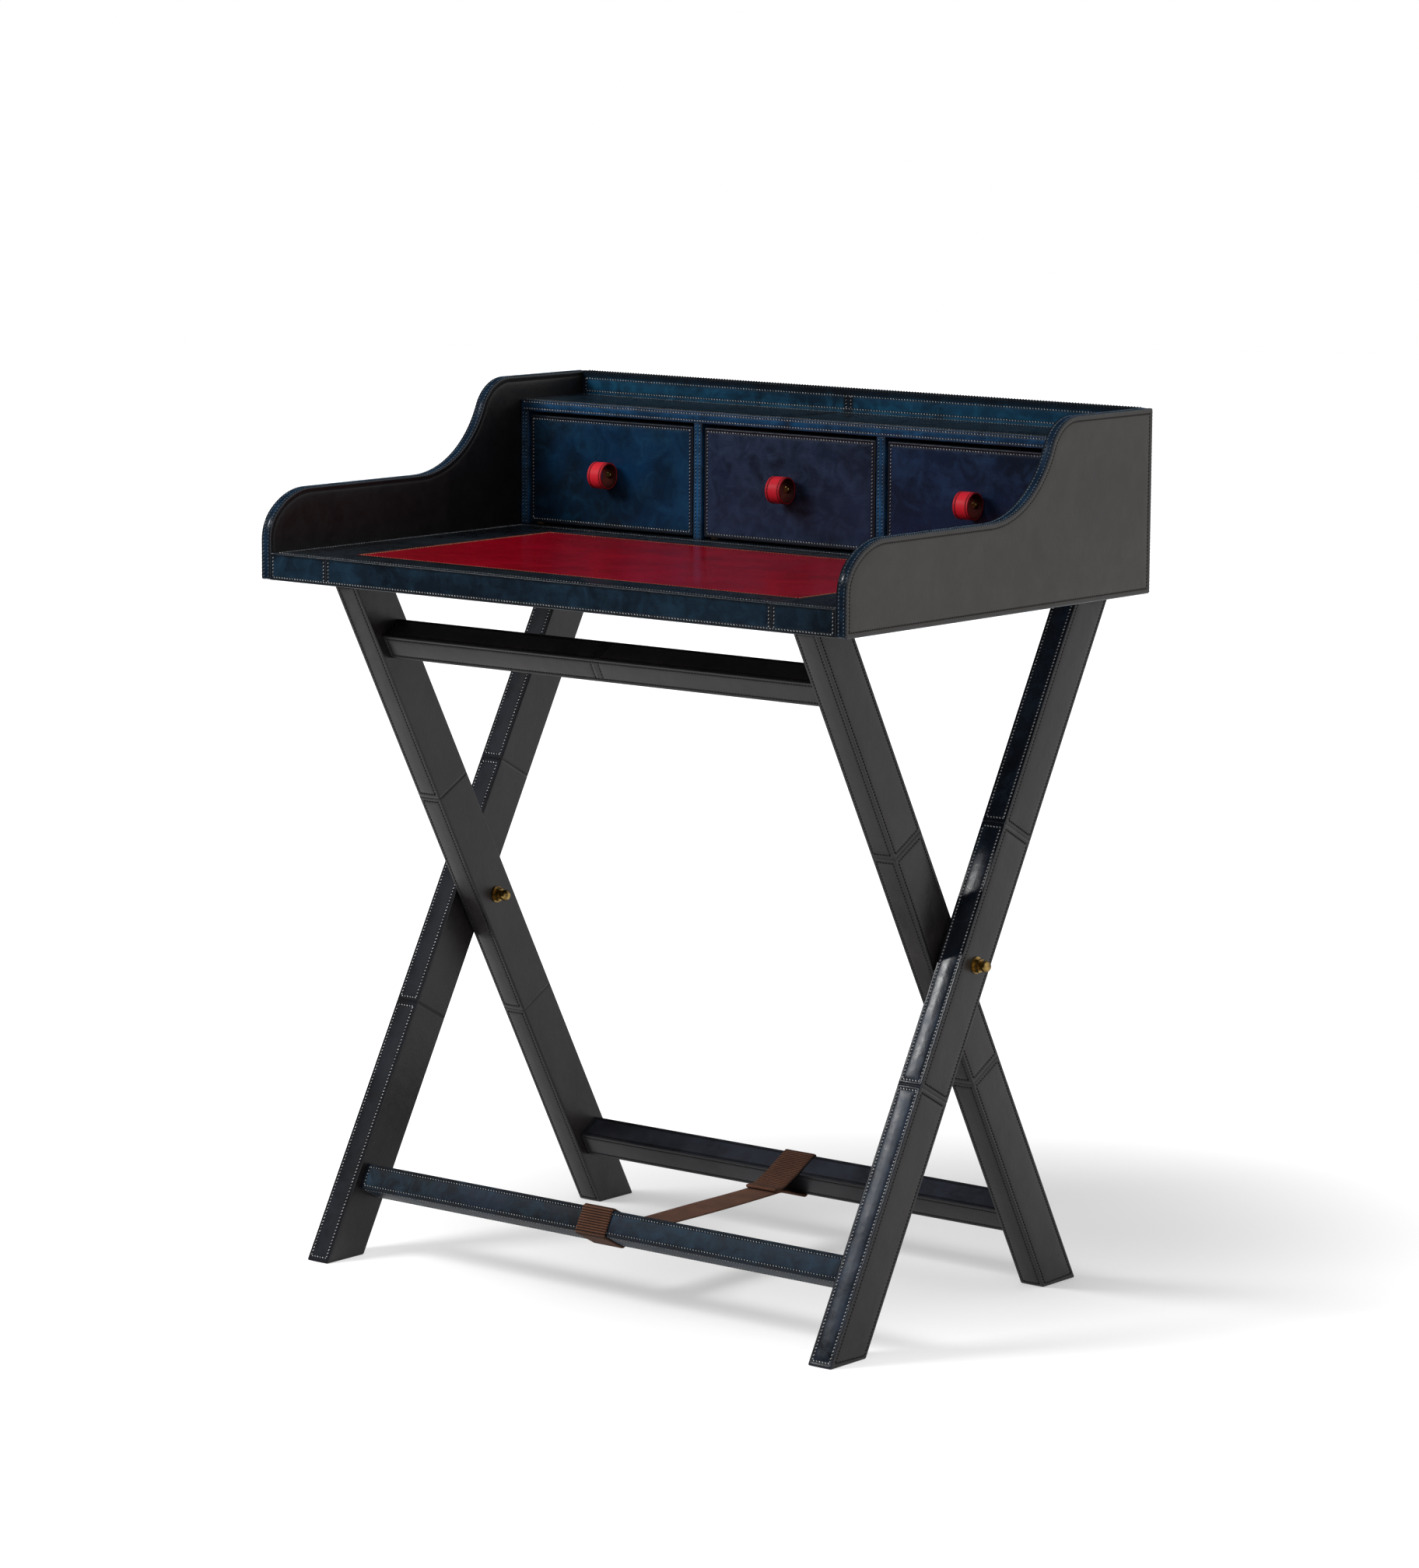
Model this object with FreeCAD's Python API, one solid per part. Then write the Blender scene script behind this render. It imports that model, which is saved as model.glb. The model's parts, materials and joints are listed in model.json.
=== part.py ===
import FreeCAD, Part
import os
from math import acos, atan2, cos, degrees, hypot, radians, sin, tan

# Campaign writing desk: a tray-shaped top with a case of small drawers, on a folding X trestle.
# Every board is a wooden core in a stitched leather cover. Lengths are in millimetres.
# X is the width (+X to the sitter's right), Y the depth (-Y is the sitter's side), Z the height.
# The origin is on the floor, under the middle of the tray.

# Tray
tray_width = 770.0
tray_depth = 516.0
writing_height = 760.0
desktop_thickness = 29.0
side_thickness = 13.0
back_thickness = 11.5
leather = 1.2
edge_round = 1.8

# Outline of a side panel, from its front edge and above the writing surface
arm_height = 64.5
side_height = 162.5
nose_run = 64.0
nose_drop = 52.0
nose_turn_deg = 45.0
sweep_start = 235.0
sweep_radius = 112.0
crest_radius = 47.0

# Red leather inlay, in from the sides and the front edge of the desktop
inlay_side_margin = 78.5
inlay_front_margin = 45.0
inlay_depth = 311.0

# Dowels that join the side panels to the desktop
dowel_diameter = 8.0
dowel_in_side = 8.0
dowel_in_desktop = 22.0
dowel_end_margin = 60.0
dowels_per_side = 4

# Drawer case
case_depth = 116.0
shelf_height = 137.5
shelf_thickness = 13.0
case_end_thickness = 10.0
divider_thickness = 11.0
drawer_count = 3

# Drawers
front_thickness = 13.0
front_setback = 1.5
front_side_gap = 2.5
front_top_gap = 4.0
front_bottom_gap = 3.0
box_side_thickness = 8.0
box_back_thickness = 8.0
box_bottom_thickness = 4.0
box_top_drop = 14.0
box_bottom_rise = 5.0
box_rear_gap = 2.0
box_slide_gap = 0.3
groove_depth = 3.0

# Leather loop pulls
pull_diameter = 29.0
pull_width = 19.5
pull_strip = 2.0
pull_flattening = 0.8
pull_hole_clearance = 0.1
pull_screw_head_diameter = 7.0
pull_screw_head_height = 2.2
pull_screw_diameter = 3.6
pull_screw_length = 11.0

# Trestle
leg_thickness = 30.0
leg_depth = 52.0
leg_end_margin = 26.0
leg_inset = 32.0
leg_gap = 4.5
pivot_height = 373.0
pivot_behind_middle = 5.5
seat_gap = 0.3
top_stretcher_drop = 72.5
low_stretcher_rise = 90.0
stretcher_height = 29.0
stretcher_depth = 33.0
tenon_length = 16.0
tenon_height = 13.0
tenon_depth = 18.0

# Pivot hardware
bolt_diameter = 8.0
bolt_head_diameter = 15.0
bolt_head_height = 4.0
bolt_end_in_cap = 9.0
shaft_clearance = 0.05
thread_clearance = 0.02
running_gap = 0.3
bush_wall = 2.5
washer_diameter = 17.6
washer_thickness = 1.5
hex_across_flats = 13.0
hex_height = 5.0
neck_diameter = 10.0
neck_length = 2.0
cap_diameter = 12.0
cap_length = 8.0
cap_flat_diameter = 7.0
cap_widest_share = 0.45

# Locating pins on the outer legs
pin_diameter = 8.0
pin_sunk = 14.0
pin_proud = 9.0
pin_clearance = 0.1
socket_end_room = 1.0

# Webbing strap
strap_width = 40.0
strap_thickness = 1.8
strap_corner_round = 1.6
strap_height = 70.0
strap_join_reach = 51.5
hem_length = 10.0

# Every cut runs past the solid that it cuts by this much
overrun = 5.0

# Places worked out from the sizes above
tray_half = tray_width / 2
inner_half = tray_half - side_thickness
front_y = -tray_depth / 2
rear_y = tray_depth / 2
underside_z = writing_height - desktop_thickness
arm_z = writing_height + arm_height
side_top_z = writing_height + side_height
back_front_y = rear_y - back_thickness
case_front_y = rear_y - case_depth
shelf_z = writing_height + shelf_height
shelf_low_z = shelf_z - shelf_thickness
inlay_half = inner_half - inlay_side_margin
bays_width = 2 * (inner_half - case_end_thickness)
bay_width = (bays_width - (drawer_count - 1) * divider_thickness) / drawer_count

leg_top_z = underside_z - seat_gap
pivot_y = pivot_behind_middle
# The outer legs' tops end a margin in front of the tray's rear face, which sets how far the legs lean
leg_run = rear_y - leg_end_margin - pivot_y
leg_rise = leg_top_z - pivot_height
leg_angle = acos(leg_depth / 2 / hypot(leg_run, leg_rise)) - atan2(leg_rise, leg_run)
# Middles of the stretchers, as distances up the leg from the pivot
top_along = leg_rise / cos(leg_angle) - top_stretcher_drop
low_along = low_stretcher_rise - pivot_height / cos(leg_angle)
outer_leg_x = tray_half - leg_inset - leg_thickness / 2
inner_leg_x = outer_leg_x - leg_thickness - leg_gap
outer_face_x = outer_leg_x + leg_thickness / 2
outer_inner_face_x = outer_leg_x - leg_thickness / 2
inner_face_x = inner_leg_x - leg_thickness / 2
bush_radius = bolt_diameter / 2 + shaft_clearance + bush_wall

# The inner legs lean to the front at their tops, and the outer legs to the back
INNER = 1
OUTER = -1


def save(name, shape):
    shape.exportStep("parts/" + name + ".step")


def box(x0, x1, y0, y1, z0, z1):
    return Part.makeBox(x1 - x0, y1 - y0, z1 - z0, FreeCAD.Vector(x0, y0, z0))


def prism(points, x0, x1):
    """A solid with this outline in Y and Z, from x0 to x1."""
    corners = [FreeCAD.Vector(x0, y, z) for y, z in points]
    face = Part.Face(Part.makePolygon(corners + corners[:1]))
    return face.extrude(FreeCAD.Vector(x1 - x0, 0, 0))


def rod(x0, x1, radius, y, z):
    """A round bar along X."""
    return Part.makeCylinder(radius, x1 - x0, FreeCAD.Vector(x0, y, z), FreeCAD.Vector(1, 0, 0))


def soften(shape, radius, wanted):
    """Rounds the edges whose middle point passes the test."""
    edges = [e for e in shape.Edges if wanted(e.CenterOfMass)]
    return shape.makeFillet(radius, edges)


def soften_along_x(shape, radius):
    """Rounds the edges that run along X."""
    level = shape.BoundBox.XLength * 1e-6
    edges = [e for e in shape.Edges if e.BoundBox.YLength + e.BoundBox.ZLength < level]
    return shape.makeFillet(radius, edges)


# Legs: a board with level ends, leaning about the pivot
def leg_middle_y(lean, z):
    return pivot_y - lean * (z - pivot_height) * tan(leg_angle)


def leg_block(x_middle, lean, inset):
    """The leg's outer form, or with an inset its wooden core."""
    half_cut = (leg_depth / 2 - inset) / cos(leg_angle)
    low = inset
    high = leg_top_z - inset
    points = [
        (leg_middle_y(lean, low) - half_cut, low),
        (leg_middle_y(lean, low) + half_cut, low),
        (leg_middle_y(lean, high) + half_cut, high),
        (leg_middle_y(lean, high) - half_cut, high),
    ]
    half = leg_thickness / 2 - inset
    return prism(points, x_middle - half, x_middle + half)


def tilted_outline(lean, along, depth, height):
    """Corners in Y and Z of a rectangle that leans with a leg, centred on the leg's middle line."""
    middle_y = pivot_y - lean * along * sin(leg_angle)
    middle_z = pivot_height + along * cos(leg_angle)
    corners = []
    for across, up in ((-1, -1), (1, -1), (1, 1), (-1, 1)):
        y = middle_y + across * depth / 2 * cos(leg_angle) - lean * up * height / 2 * sin(leg_angle)
        z = middle_z + lean * across * depth / 2 * sin(leg_angle) + up * height / 2 * cos(leg_angle)
        corners.append((y, z))
    return corners


def tenon(lean, along, face_x):
    """The bar that both ends of a stretcher's core reach into the legs with."""
    reach = face_x + tenon_length
    return prism(tilted_outline(lean, along, tenon_depth, tenon_height), -reach, reach)


def pin_place(side):
    """Middle of a locating pin: on the top of an outer leg."""
    return side * outer_leg_x, leg_middle_y(OUTER, leg_top_z)


def make_leg(cover_name, core_name, x_middle, lean, stretchers, bore_radius, pin=None):
    cuts = [rod(x_middle - leg_thickness, x_middle + leg_thickness, bore_radius, pivot_y, pivot_height)]
    cuts += stretchers
    if pin:
        cuts.append(pin)
    core_block = leg_block(x_middle, lean, leather)
    cover = leg_block(x_middle, lean, 0)
    cover = cover.makeFillet(edge_round, cover.Edges)
    cover = cover.cut(core_block)
    core = core_block
    for cut in cuts:
        cover = cover.cut(cut)
        core = core.cut(cut)
    save(cover_name, cover)
    save(core_name, core)


def make_stretcher(cover_name, core_name, lean, along, face_x):
    """A rail between two legs: leather round the four long sides, wood with a tenon at each end."""
    cover = prism(tilted_outline(lean, along, stretcher_depth, stretcher_height), -face_x, face_x)
    wood_depth = stretcher_depth - 2 * leather
    wood_height = stretcher_height - 2 * leather
    wood = prism(tilted_outline(lean, along, wood_depth, wood_height), -face_x, face_x)
    cover = soften_along_x(cover, edge_round).cut(wood)
    save(cover_name, cover)
    save(core_name, wood.fuse(tenon(lean, along, face_x)).removeSplitter())


def make_trestle():
    top_tenon = tenon(INNER, top_along, inner_face_x)
    back_tenon = tenon(INNER, low_along, inner_face_x)
    front_tenon = tenon(OUTER, low_along, outer_inner_face_x)
    for side, word in ((-1, "left"), (1, "right")):
        pin_x, pin_y = pin_place(side)
        pin = Part.makeCylinder(
            pin_diameter / 2, pin_sunk + pin_proud, FreeCAD.Vector(pin_x, pin_y, leg_top_z - pin_sunk)
        )
        make_leg(
            "leg_outer_" + word, "leg_outer_core_" + word, side * outer_leg_x, OUTER,
            [front_tenon], bolt_diameter / 2 + shaft_clearance, pin,
        )
        make_leg(
            "leg_inner_" + word, "leg_inner_core_" + word, side * inner_leg_x, INNER,
            [top_tenon, back_tenon], bush_radius,
        )
    make_stretcher("stretcher_front", "stretcher_front_core", OUTER, low_along, outer_inner_face_x)
    make_stretcher("stretcher_back", "stretcher_back_core", INNER, low_along, inner_face_x)
    make_stretcher("stretcher_top", "stretcher_top_core", INNER, top_along, inner_face_x)


def make_locating_pins():
    """Brass pins that stand on the outer legs and keep the lift-off tray in place."""
    pins = []
    for side in (-1, 1):
        x, y = pin_place(side)
        low = leg_top_z - pin_sunk
        pin = Part.makeCylinder(pin_diameter / 2, pin_sunk + pin_proud, FreeCAD.Vector(x, y, low))
        tip = leg_top_z + pin_proud
        pins.append(soften(pin, pin_diameter / 8, lambda p: abs(p.z - tip) < pin_proud / 2))
    save("locating_pins", Part.Compound(pins))


# Pivots: on both sides the bolt points to +X and turns in a bush in the inner leg
def cap_nut(face_x):
    """Hexagon, neck and round cap with a flat end, seated on a washer at face_x."""
    corner = hex_across_flats / 2 / cos(radians(30))
    points = []
    for k in range(6):
        turn = radians(60 * k)
        points.append((pivot_y + corner * cos(turn), pivot_height + corner * sin(turn)))
    nut = prism(points, face_x, face_x + hex_height)
    neck_end = face_x + hex_height + neck_length
    nut = nut.fuse(rod(face_x, neck_end, neck_diameter / 2, pivot_y, pivot_height))
    tip_x = neck_end + cap_length
    start = FreeCAD.Vector(neck_end, pivot_y + neck_diameter / 2, pivot_height)
    bulge = FreeCAD.Vector(neck_end + cap_length * cap_widest_share, pivot_y + cap_diameter / 2, pivot_height)
    end = FreeCAD.Vector(tip_x, pivot_y + cap_flat_diameter / 2, pivot_height)
    axis_start = FreeCAD.Vector(neck_end, pivot_y, pivot_height)
    axis_end = FreeCAD.Vector(tip_x, pivot_y, pivot_height)
    edges = [
        Part.LineSegment(axis_start, start).toShape(),
        Part.Arc(start, bulge, end).toShape(),
        Part.LineSegment(end, axis_end).toShape(),
        Part.LineSegment(axis_end, axis_start).toShape(),
    ]
    cap = Part.Face(Part.Wire(edges)).revolve(axis_start, FreeCAD.Vector(1, 0, 0), 360)
    nut = nut.fuse(cap).removeSplitter()
    thread_radius = bolt_diameter / 2 + thread_clearance
    return nut.cut(rod(face_x - overrun, face_x + bolt_end_in_cap, thread_radius, pivot_y, pivot_height))


def washer(x0, thickness, hole_radius):
    ring = rod(x0, x0 + thickness, washer_diameter / 2, pivot_y, pivot_height)
    return ring.cut(rod(x0 - overrun, x0 + thickness + overrun, hole_radius, pivot_y, pivot_height))


def bolt(head_face_x, end_x):
    """Round-headed bolt whose head ends at head_face_x and whose shank runs to end_x."""
    head = rod(head_face_x - bolt_head_height, head_face_x, bolt_head_diameter / 2, pivot_y, pivot_height)
    crown = head_face_x - bolt_head_height
    head = soften(head, bolt_head_height / 2, lambda p: abs(p.x - crown) < bolt_head_height / 4)
    return head.fuse(rod(head_face_x, end_x, bolt_diameter / 2, pivot_y, pivot_height)).removeSplitter()


def make_pivots():
    hole = bolt_diameter / 2 + shaft_clearance
    # Left: head, washer, outer leg, spacer, inner leg, washer, cap nut
    left_head_x = -outer_face_x - washer_thickness
    left_washer_x = -inner_face_x + running_gap
    left_nut_x = left_washer_x + washer_thickness
    # Right: head, washer, inner leg, spacer, outer leg, washer, cap nut
    right_head_washer_x = inner_face_x - running_gap - washer_thickness
    right_nut_x = outer_face_x + washer_thickness
    bolts = [
        bolt(left_head_x, left_nut_x + bolt_end_in_cap),
        bolt(right_head_washer_x, right_nut_x + bolt_end_in_cap),
    ]
    washers = [
        washer(left_head_x, washer_thickness, hole),
        washer(left_washer_x, washer_thickness, hole),
        washer(right_head_washer_x, washer_thickness, hole),
        washer(outer_face_x, washer_thickness, hole),
    ]
    spacer_thickness = leg_gap - running_gap
    spacers = [
        washer(-outer_inner_face_x, spacer_thickness, hole),
        washer(outer_inner_face_x - spacer_thickness, spacer_thickness, hole),
    ]
    bushes = []
    for side in (-1, 1):
        x0 = side * inner_leg_x - leg_thickness / 2
        bush = rod(x0, x0 + leg_thickness, bush_radius, pivot_y, pivot_height)
        bore = rod(x0 - overrun, x0 + leg_thickness + overrun, hole, pivot_y, pivot_height)
        bushes.append(bush.cut(bore))
    save("pivot_bolts", Part.Compound(bolts))
    save("pivot_washers", Part.Compound(washers))
    save("pivot_spacers", Part.Compound(spacers))
    save("pivot_bushes", Part.Compound(bushes))
    save("pivot_cap_nuts", Part.Compound([cap_nut(left_nut_x), cap_nut(right_nut_x)]))


# Strap: one length of webbing, as the turn round each low stretcher and the free span between them
def by_rail(lean, across, up):
    """A place in Y and Z, across and up from the middle of a low stretcher, which leans with its leg."""
    y = pivot_y - lean * low_along * sin(leg_angle) + across * cos(leg_angle) - lean * up * sin(leg_angle)
    z = pivot_height + low_along * cos(leg_angle) + lean * across * sin(leg_angle) + up * cos(leg_angle)
    return y, z


def strap_turn(lean):
    """The webbing over, behind and under a low stretcher, open towards the other stretcher."""
    near = -lean * stretcher_depth / 2
    far = lean * (stretcher_depth / 2 + strap_thickness)
    high = stretcher_height / 2 + strap_thickness
    corners = [by_rail(lean, near, -high), by_rail(lean, far, -high), by_rail(lean, far, high),
               by_rail(lean, near, high)]
    middle_y = by_rail(lean, 0, 0)[0]
    outer = prism(corners, -strap_width / 2, strap_width / 2)
    outer = soften(
        outer, strap_corner_round, lambda p: abs(p.x) < strap_width / 4 and lean * (p.y - middle_y) > 0
    )
    rail = prism(
        tilted_outline(lean, low_along, stretcher_depth, stretcher_height),
        -strap_width / 2 - overrun, strap_width / 2 + overrun,
    )
    return outer.cut(rail)


def strap_end(lean):
    """Corners of the span's end in Y and Z, from under the rail to the hem. Its layers part at the join."""
    near = -lean * stretcher_depth / 2
    inner, outer = stretcher_height / 2, stretcher_height / 2 + strap_thickness
    join_y = by_rail(lean, 0, 0)[0] - lean * strap_join_reach
    hem_top = strap_height + 2 * strap_thickness
    return [
        (join_y, strap_height - strap_thickness),
        by_rail(lean, near, -outer),
        by_rail(lean, near, -inner),
        (join_y, strap_height),
        by_rail(lean, near, inner),
        by_rail(lean, near, outer),
        (join_y, hem_top),
        (join_y - lean * hem_length, hem_top),
        (join_y - lean * hem_length, strap_height),
    ]


def make_strap():
    save("strap_loop_front", strap_turn(OUTER))
    save("strap_loop_back", strap_turn(INNER))
    outline = strap_end(INNER) + strap_end(OUTER)[::-1]
    save("strap_span", prism(outline, -strap_width / 2, strap_width / 2))


# Side panels: a low arm with a rounded nose, swept up in an S to the height of the back
def side_outline(inset):
    """The panel's outline in Y and Z as edges, drawn in by the inset."""
    turn = radians(nose_turn_deg)
    # Two arcs make the nose: they share a tangent at nose_turn and fill nose_run by nose_drop
    first_run, first_drop = 1 - cos(turn), sin(turn)
    second_run, second_drop = cos(turn), 1 - sin(turn)
    spread = first_run * second_drop - first_drop * second_run
    first_radius = (nose_run * second_drop - nose_drop * second_run) / spread
    second_radius = (first_run * nose_drop - first_drop * nose_run) / spread
    sweep_turn = acos(1 - (side_top_z - arm_z) / (sweep_radius + crest_radius))

    def on_circle(y, z, radius, angle):
        return (y + radius * cos(angle), z + radius * sin(angle))

    def arc(y, z, radius, start, end):
        points = [on_circle(y, z, radius, a) for a in (start, (start + end) / 2, end)]
        return Part.Arc(*[FreeCAD.Vector(0, p[0], p[1]) for p in points]).toShape()

    nose_z = arm_z - nose_drop
    sweep_y = front_y + sweep_start
    crest_y = sweep_y + (sweep_radius + crest_radius) * sin(sweep_turn)
    half_turn = radians(180)
    quarter = radians(90)
    arcs = [
        arc(front_y + first_radius, nose_z, first_radius - inset, half_turn, half_turn - turn),
        arc(front_y + nose_run, arm_z - second_radius, second_radius - inset, half_turn - turn, quarter),
        arc(sweep_y, arm_z + sweep_radius, sweep_radius + inset, -quarter, -quarter + sweep_turn),
        arc(crest_y, side_top_z - crest_radius, crest_radius - inset, quarter + sweep_turn, quarter),
    ]
    lines = [
        (front_y + inset, underside_z + inset),
        (front_y + inset, nose_z),
        (front_y + nose_run, arm_z - inset),
        (sweep_y, arm_z - inset),
        (crest_y, side_top_z - inset),
        (rear_y - inset, side_top_z - inset),
        (rear_y - inset, underside_z + inset),
    ]
    at = [FreeCAD.Vector(0, y, z) for y, z in lines]
    return [
        Part.LineSegment(at[0], at[1]).toShape(),
        arcs[0],
        arcs[1],
        Part.LineSegment(at[2], at[3]).toShape(),
        arcs[2],
        arcs[3],
        Part.LineSegment(at[4], at[5]).toShape(),
        Part.LineSegment(at[5], at[6]).toShape(),
        Part.LineSegment(at[6], at[0]).toShape(),
    ]


def side_block(x0, x1, inset):
    face = Part.Face(Part.Wire(side_outline(inset)))
    face.translate(FreeCAD.Vector(x0 + inset, 0, 0))
    return face.extrude(FreeCAD.Vector(x1 - x0 - 2 * inset, 0, 0))


def dowels():
    """Short round bars across the joint of the desktop and each side panel."""
    bars = []
    middle_z = underside_z + desktop_thickness / 2
    first = front_y + dowel_end_margin
    step = (back_front_y - dowel_end_margin - first) / (dowels_per_side - 1)
    for side in (-1, 1):
        ends = sorted((side * (inner_half + dowel_in_side), side * (inner_half - dowel_in_desktop)))
        for k in range(dowels_per_side):
            bars.append(rod(ends[0], ends[1], dowel_diameter / 2, first + k * step, middle_z))
    return bars


def make_sides(bars):
    for side, word in ((-1, "left"), (1, "right")):
        x0, x1 = sorted((side * inner_half, side * tray_half))
        cover = side_block(x0, x1, 0)
        cover = cover.makeFillet(edge_round, cover.Edges)
        core = side_block(x0, x1, leather)
        cover = cover.cut(core)
        for bar in bars:
            cover = cover.cut(bar)
            core = core.cut(bar)
        save("side_panel_" + word, cover)
        save("side_panel_core_" + word, core)


# Desktop, inlay and back panel
def make_desktop(bars):
    cover = box(-inner_half, inner_half, front_y, back_front_y, underside_z, writing_height)
    cover = soften(cover, edge_round, lambda p: p.y < front_y + edge_round)
    core = box(
        -inner_half + leather, inner_half - leather, front_y + leather, back_front_y - leather,
        underside_z + leather, writing_height - leather,
    )
    cover = cover.cut(core)
    inlay_front_y = front_y + inlay_front_margin
    inlay = box(
        -inlay_half, inlay_half, inlay_front_y, inlay_front_y + inlay_depth,
        writing_height - leather, writing_height,
    )
    cover = cover.cut(inlay)
    cuts = list(bars)
    for side in (-1, 1):
        x, y = pin_place(side)
        depth = pin_proud - seat_gap + socket_end_room
        base = FreeCAD.Vector(x, y, underside_z - overrun)
        cuts.append(Part.makeCylinder(pin_diameter / 2 + pin_clearance, depth + overrun, base))
    for cut in cuts:
        cover = cover.cut(cut)
        core = core.cut(cut)
    save("desktop", cover)
    save("desktop_core", core)
    save("writing_inlay", inlay)
    save("tray_dowels", Part.Compound(bars))


def make_back():
    cover = box(-inner_half, inner_half, back_front_y, rear_y, underside_z, side_top_z)
    cover = soften(cover, edge_round, lambda p: p.z > side_top_z - edge_round and abs(p.x) < inner_half / 2)
    core = box(
        -inner_half + leather, inner_half - leather, back_front_y + leather, rear_y - leather,
        underside_z + leather, side_top_z - leather,
    )
    save("back_panel", cover.cut(core))
    save("back_panel_core", core)


# Drawer case: shelf, ends and dividers, all leather covered and standing on the desktop
def make_case():
    def round_front(shape):
        return soften(shape, edge_round, lambda p: p.y < case_front_y + edge_round)

    save("shelf", round_front(box(-inner_half, inner_half, case_front_y, back_front_y, shelf_low_z, shelf_z)))
    bay_outer = bays_width / 2
    for side, word in ((-1, "left"), (1, "right")):
        x0, x1 = sorted((side * inner_half, side * bay_outer))
        save("case_end_" + word, box(x0, x1, case_front_y, back_front_y, writing_height, shelf_low_z))
    for k, word in enumerate(("left", "right")):
        x0 = -bay_outer + (k + 1) * bay_width + k * divider_thickness
        upright = box(x0, x0 + divider_thickness, case_front_y, back_front_y, writing_height, shelf_low_z)
        save("divider_" + word, upright)


# Drawers: a covered front, a light wooden box grooved for its bottom, a leather loop and its screw
def make_drawer(word, bay_x):
    front_x0 = bay_x + front_side_gap
    front_x1 = bay_x + bay_width - front_side_gap
    face_y = case_front_y + front_setback
    rear_of_front_y = face_y + front_thickness
    box_rear_y = back_front_y - box_rear_gap
    front_low_z = writing_height + front_bottom_gap
    front_high_z = shelf_low_z - front_top_gap
    box_low_z = writing_height + box_slide_gap
    box_high_z = front_high_z - box_top_drop
    bottom_z0 = box_low_z + box_bottom_rise
    bottom_z1 = bottom_z0 + box_bottom_thickness
    middle_x = (front_x0 + front_x1) / 2
    middle_z = (front_low_z + front_high_z) / 2

    bottom = box(
        front_x0 + box_side_thickness - groove_depth, front_x1 - box_side_thickness + groove_depth,
        rear_of_front_y - groove_depth, box_rear_y, bottom_z0, bottom_z1,
    )
    screw_y = face_y - pull_strip
    shank = Part.makeCylinder(
        pull_screw_diameter / 2, pull_screw_length, FreeCAD.Vector(middle_x, screw_y, middle_z),
        FreeCAD.Vector(0, 1, 0),
    )
    front = box(front_x0, front_x1, face_y, rear_of_front_y, front_low_z, front_high_z)
    front = front.makeFillet(edge_round, front.Edges).cut(bottom).cut(shank)
    save("drawer_front_" + word, front)
    save("drawer_bottom_" + word, bottom)
    for name, x0 in (("a", front_x0), ("b", front_x1 - box_side_thickness)):
        board = box(x0, x0 + box_side_thickness, rear_of_front_y, box_rear_y, box_low_z, box_high_z)
        save("drawer_side_" + name + "_" + word, board.cut(bottom))
    back = box(
        front_x0 + box_side_thickness, front_x1 - box_side_thickness,
        box_rear_y - box_back_thickness, box_rear_y, bottom_z1, box_high_z,
    )
    save("drawer_back_" + word, back)
    make_pull(word, middle_x, face_y, middle_z, shank)


def make_pull(word, middle_x, face_y, middle_z, shank):
    """A loop of leather strip, flat against the drawer, and the round-headed screw that holds it."""
    radius = pull_diameter / 2
    ring_y = face_y - radius + pull_flattening
    x0 = middle_x - pull_width / 2
    x1 = middle_x + pull_width / 2
    reach = 2 * pull_diameter

    def disc(r, flat_y, end_room):
        """A round bar along X with a flat on the drawer's side."""
        bar = rod(x0 - end_room, x1 + end_room, r, ring_y, middle_z)
        keep = box(
            x0 - reach, x1 + reach, ring_y - reach, flat_y, middle_z - reach, middle_z + reach
        )
        return bar.common(keep)

    hole = Part.makeCylinder(
        pull_screw_diameter / 2 + pull_hole_clearance, pull_strip + 2 * overrun,
        FreeCAD.Vector(middle_x, face_y - pull_strip - overrun, middle_z), FreeCAD.Vector(0, 1, 0),
    )
    loop = disc(radius, face_y, 0).cut(disc(radius - pull_strip, face_y - pull_strip, overrun)).cut(hole)
    head_y = face_y - pull_strip - pull_screw_head_height
    head = Part.makeCylinder(
        pull_screw_head_diameter / 2, pull_screw_head_height, FreeCAD.Vector(middle_x, head_y, middle_z),
        FreeCAD.Vector(0, 1, 0),
    )
    crown = soften(head, pull_screw_head_height / 2, lambda p: p.y < head_y + pull_screw_head_height / 4)
    save("pull_loop_" + word, loop)
    save("pull_screw_" + word, crown.fuse(shank).removeSplitter())


def print_travel():
    """The fold stops where the inner legs' front faces meet the front stretcher's rear face."""
    near = -low_along - stretcher_height / 2
    short = 0.0
    step = 0.01
    while near * tan(radians(short)) - leg_depth / 2 / cos(radians(short)) < stretcher_depth / 2:
        short += step
    lean_deg = degrees(leg_angle)
    print("legs lean", round(lean_deg, 3), "degrees; the fold stops at", round(2 * lean_deg - short, 2))
    top_front_y = leg_middle_y(INNER, leg_top_z) - leg_depth / 2 / cos(leg_angle)
    print("inner leg tops first rise by", round(pivot_y - top_front_y, 1), "mm for each radian")
    print("each drawer's bay is", round(bay_width, 2), "mm wide")


os.makedirs("parts", exist_ok=True)
side_dowels = dowels()
make_trestle()
make_locating_pins()
make_pivots()
make_strap()
make_sides(side_dowels)
make_desktop(side_dowels)
make_back()
make_case()
for index, drawer_word in enumerate(("left", "middle", "right")):
    make_drawer(drawer_word, -bays_width / 2 + index * (bay_width + divider_thickness))
print_travel()
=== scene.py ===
import json
import math

import bpy
from mathutils import Matrix, Vector


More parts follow.
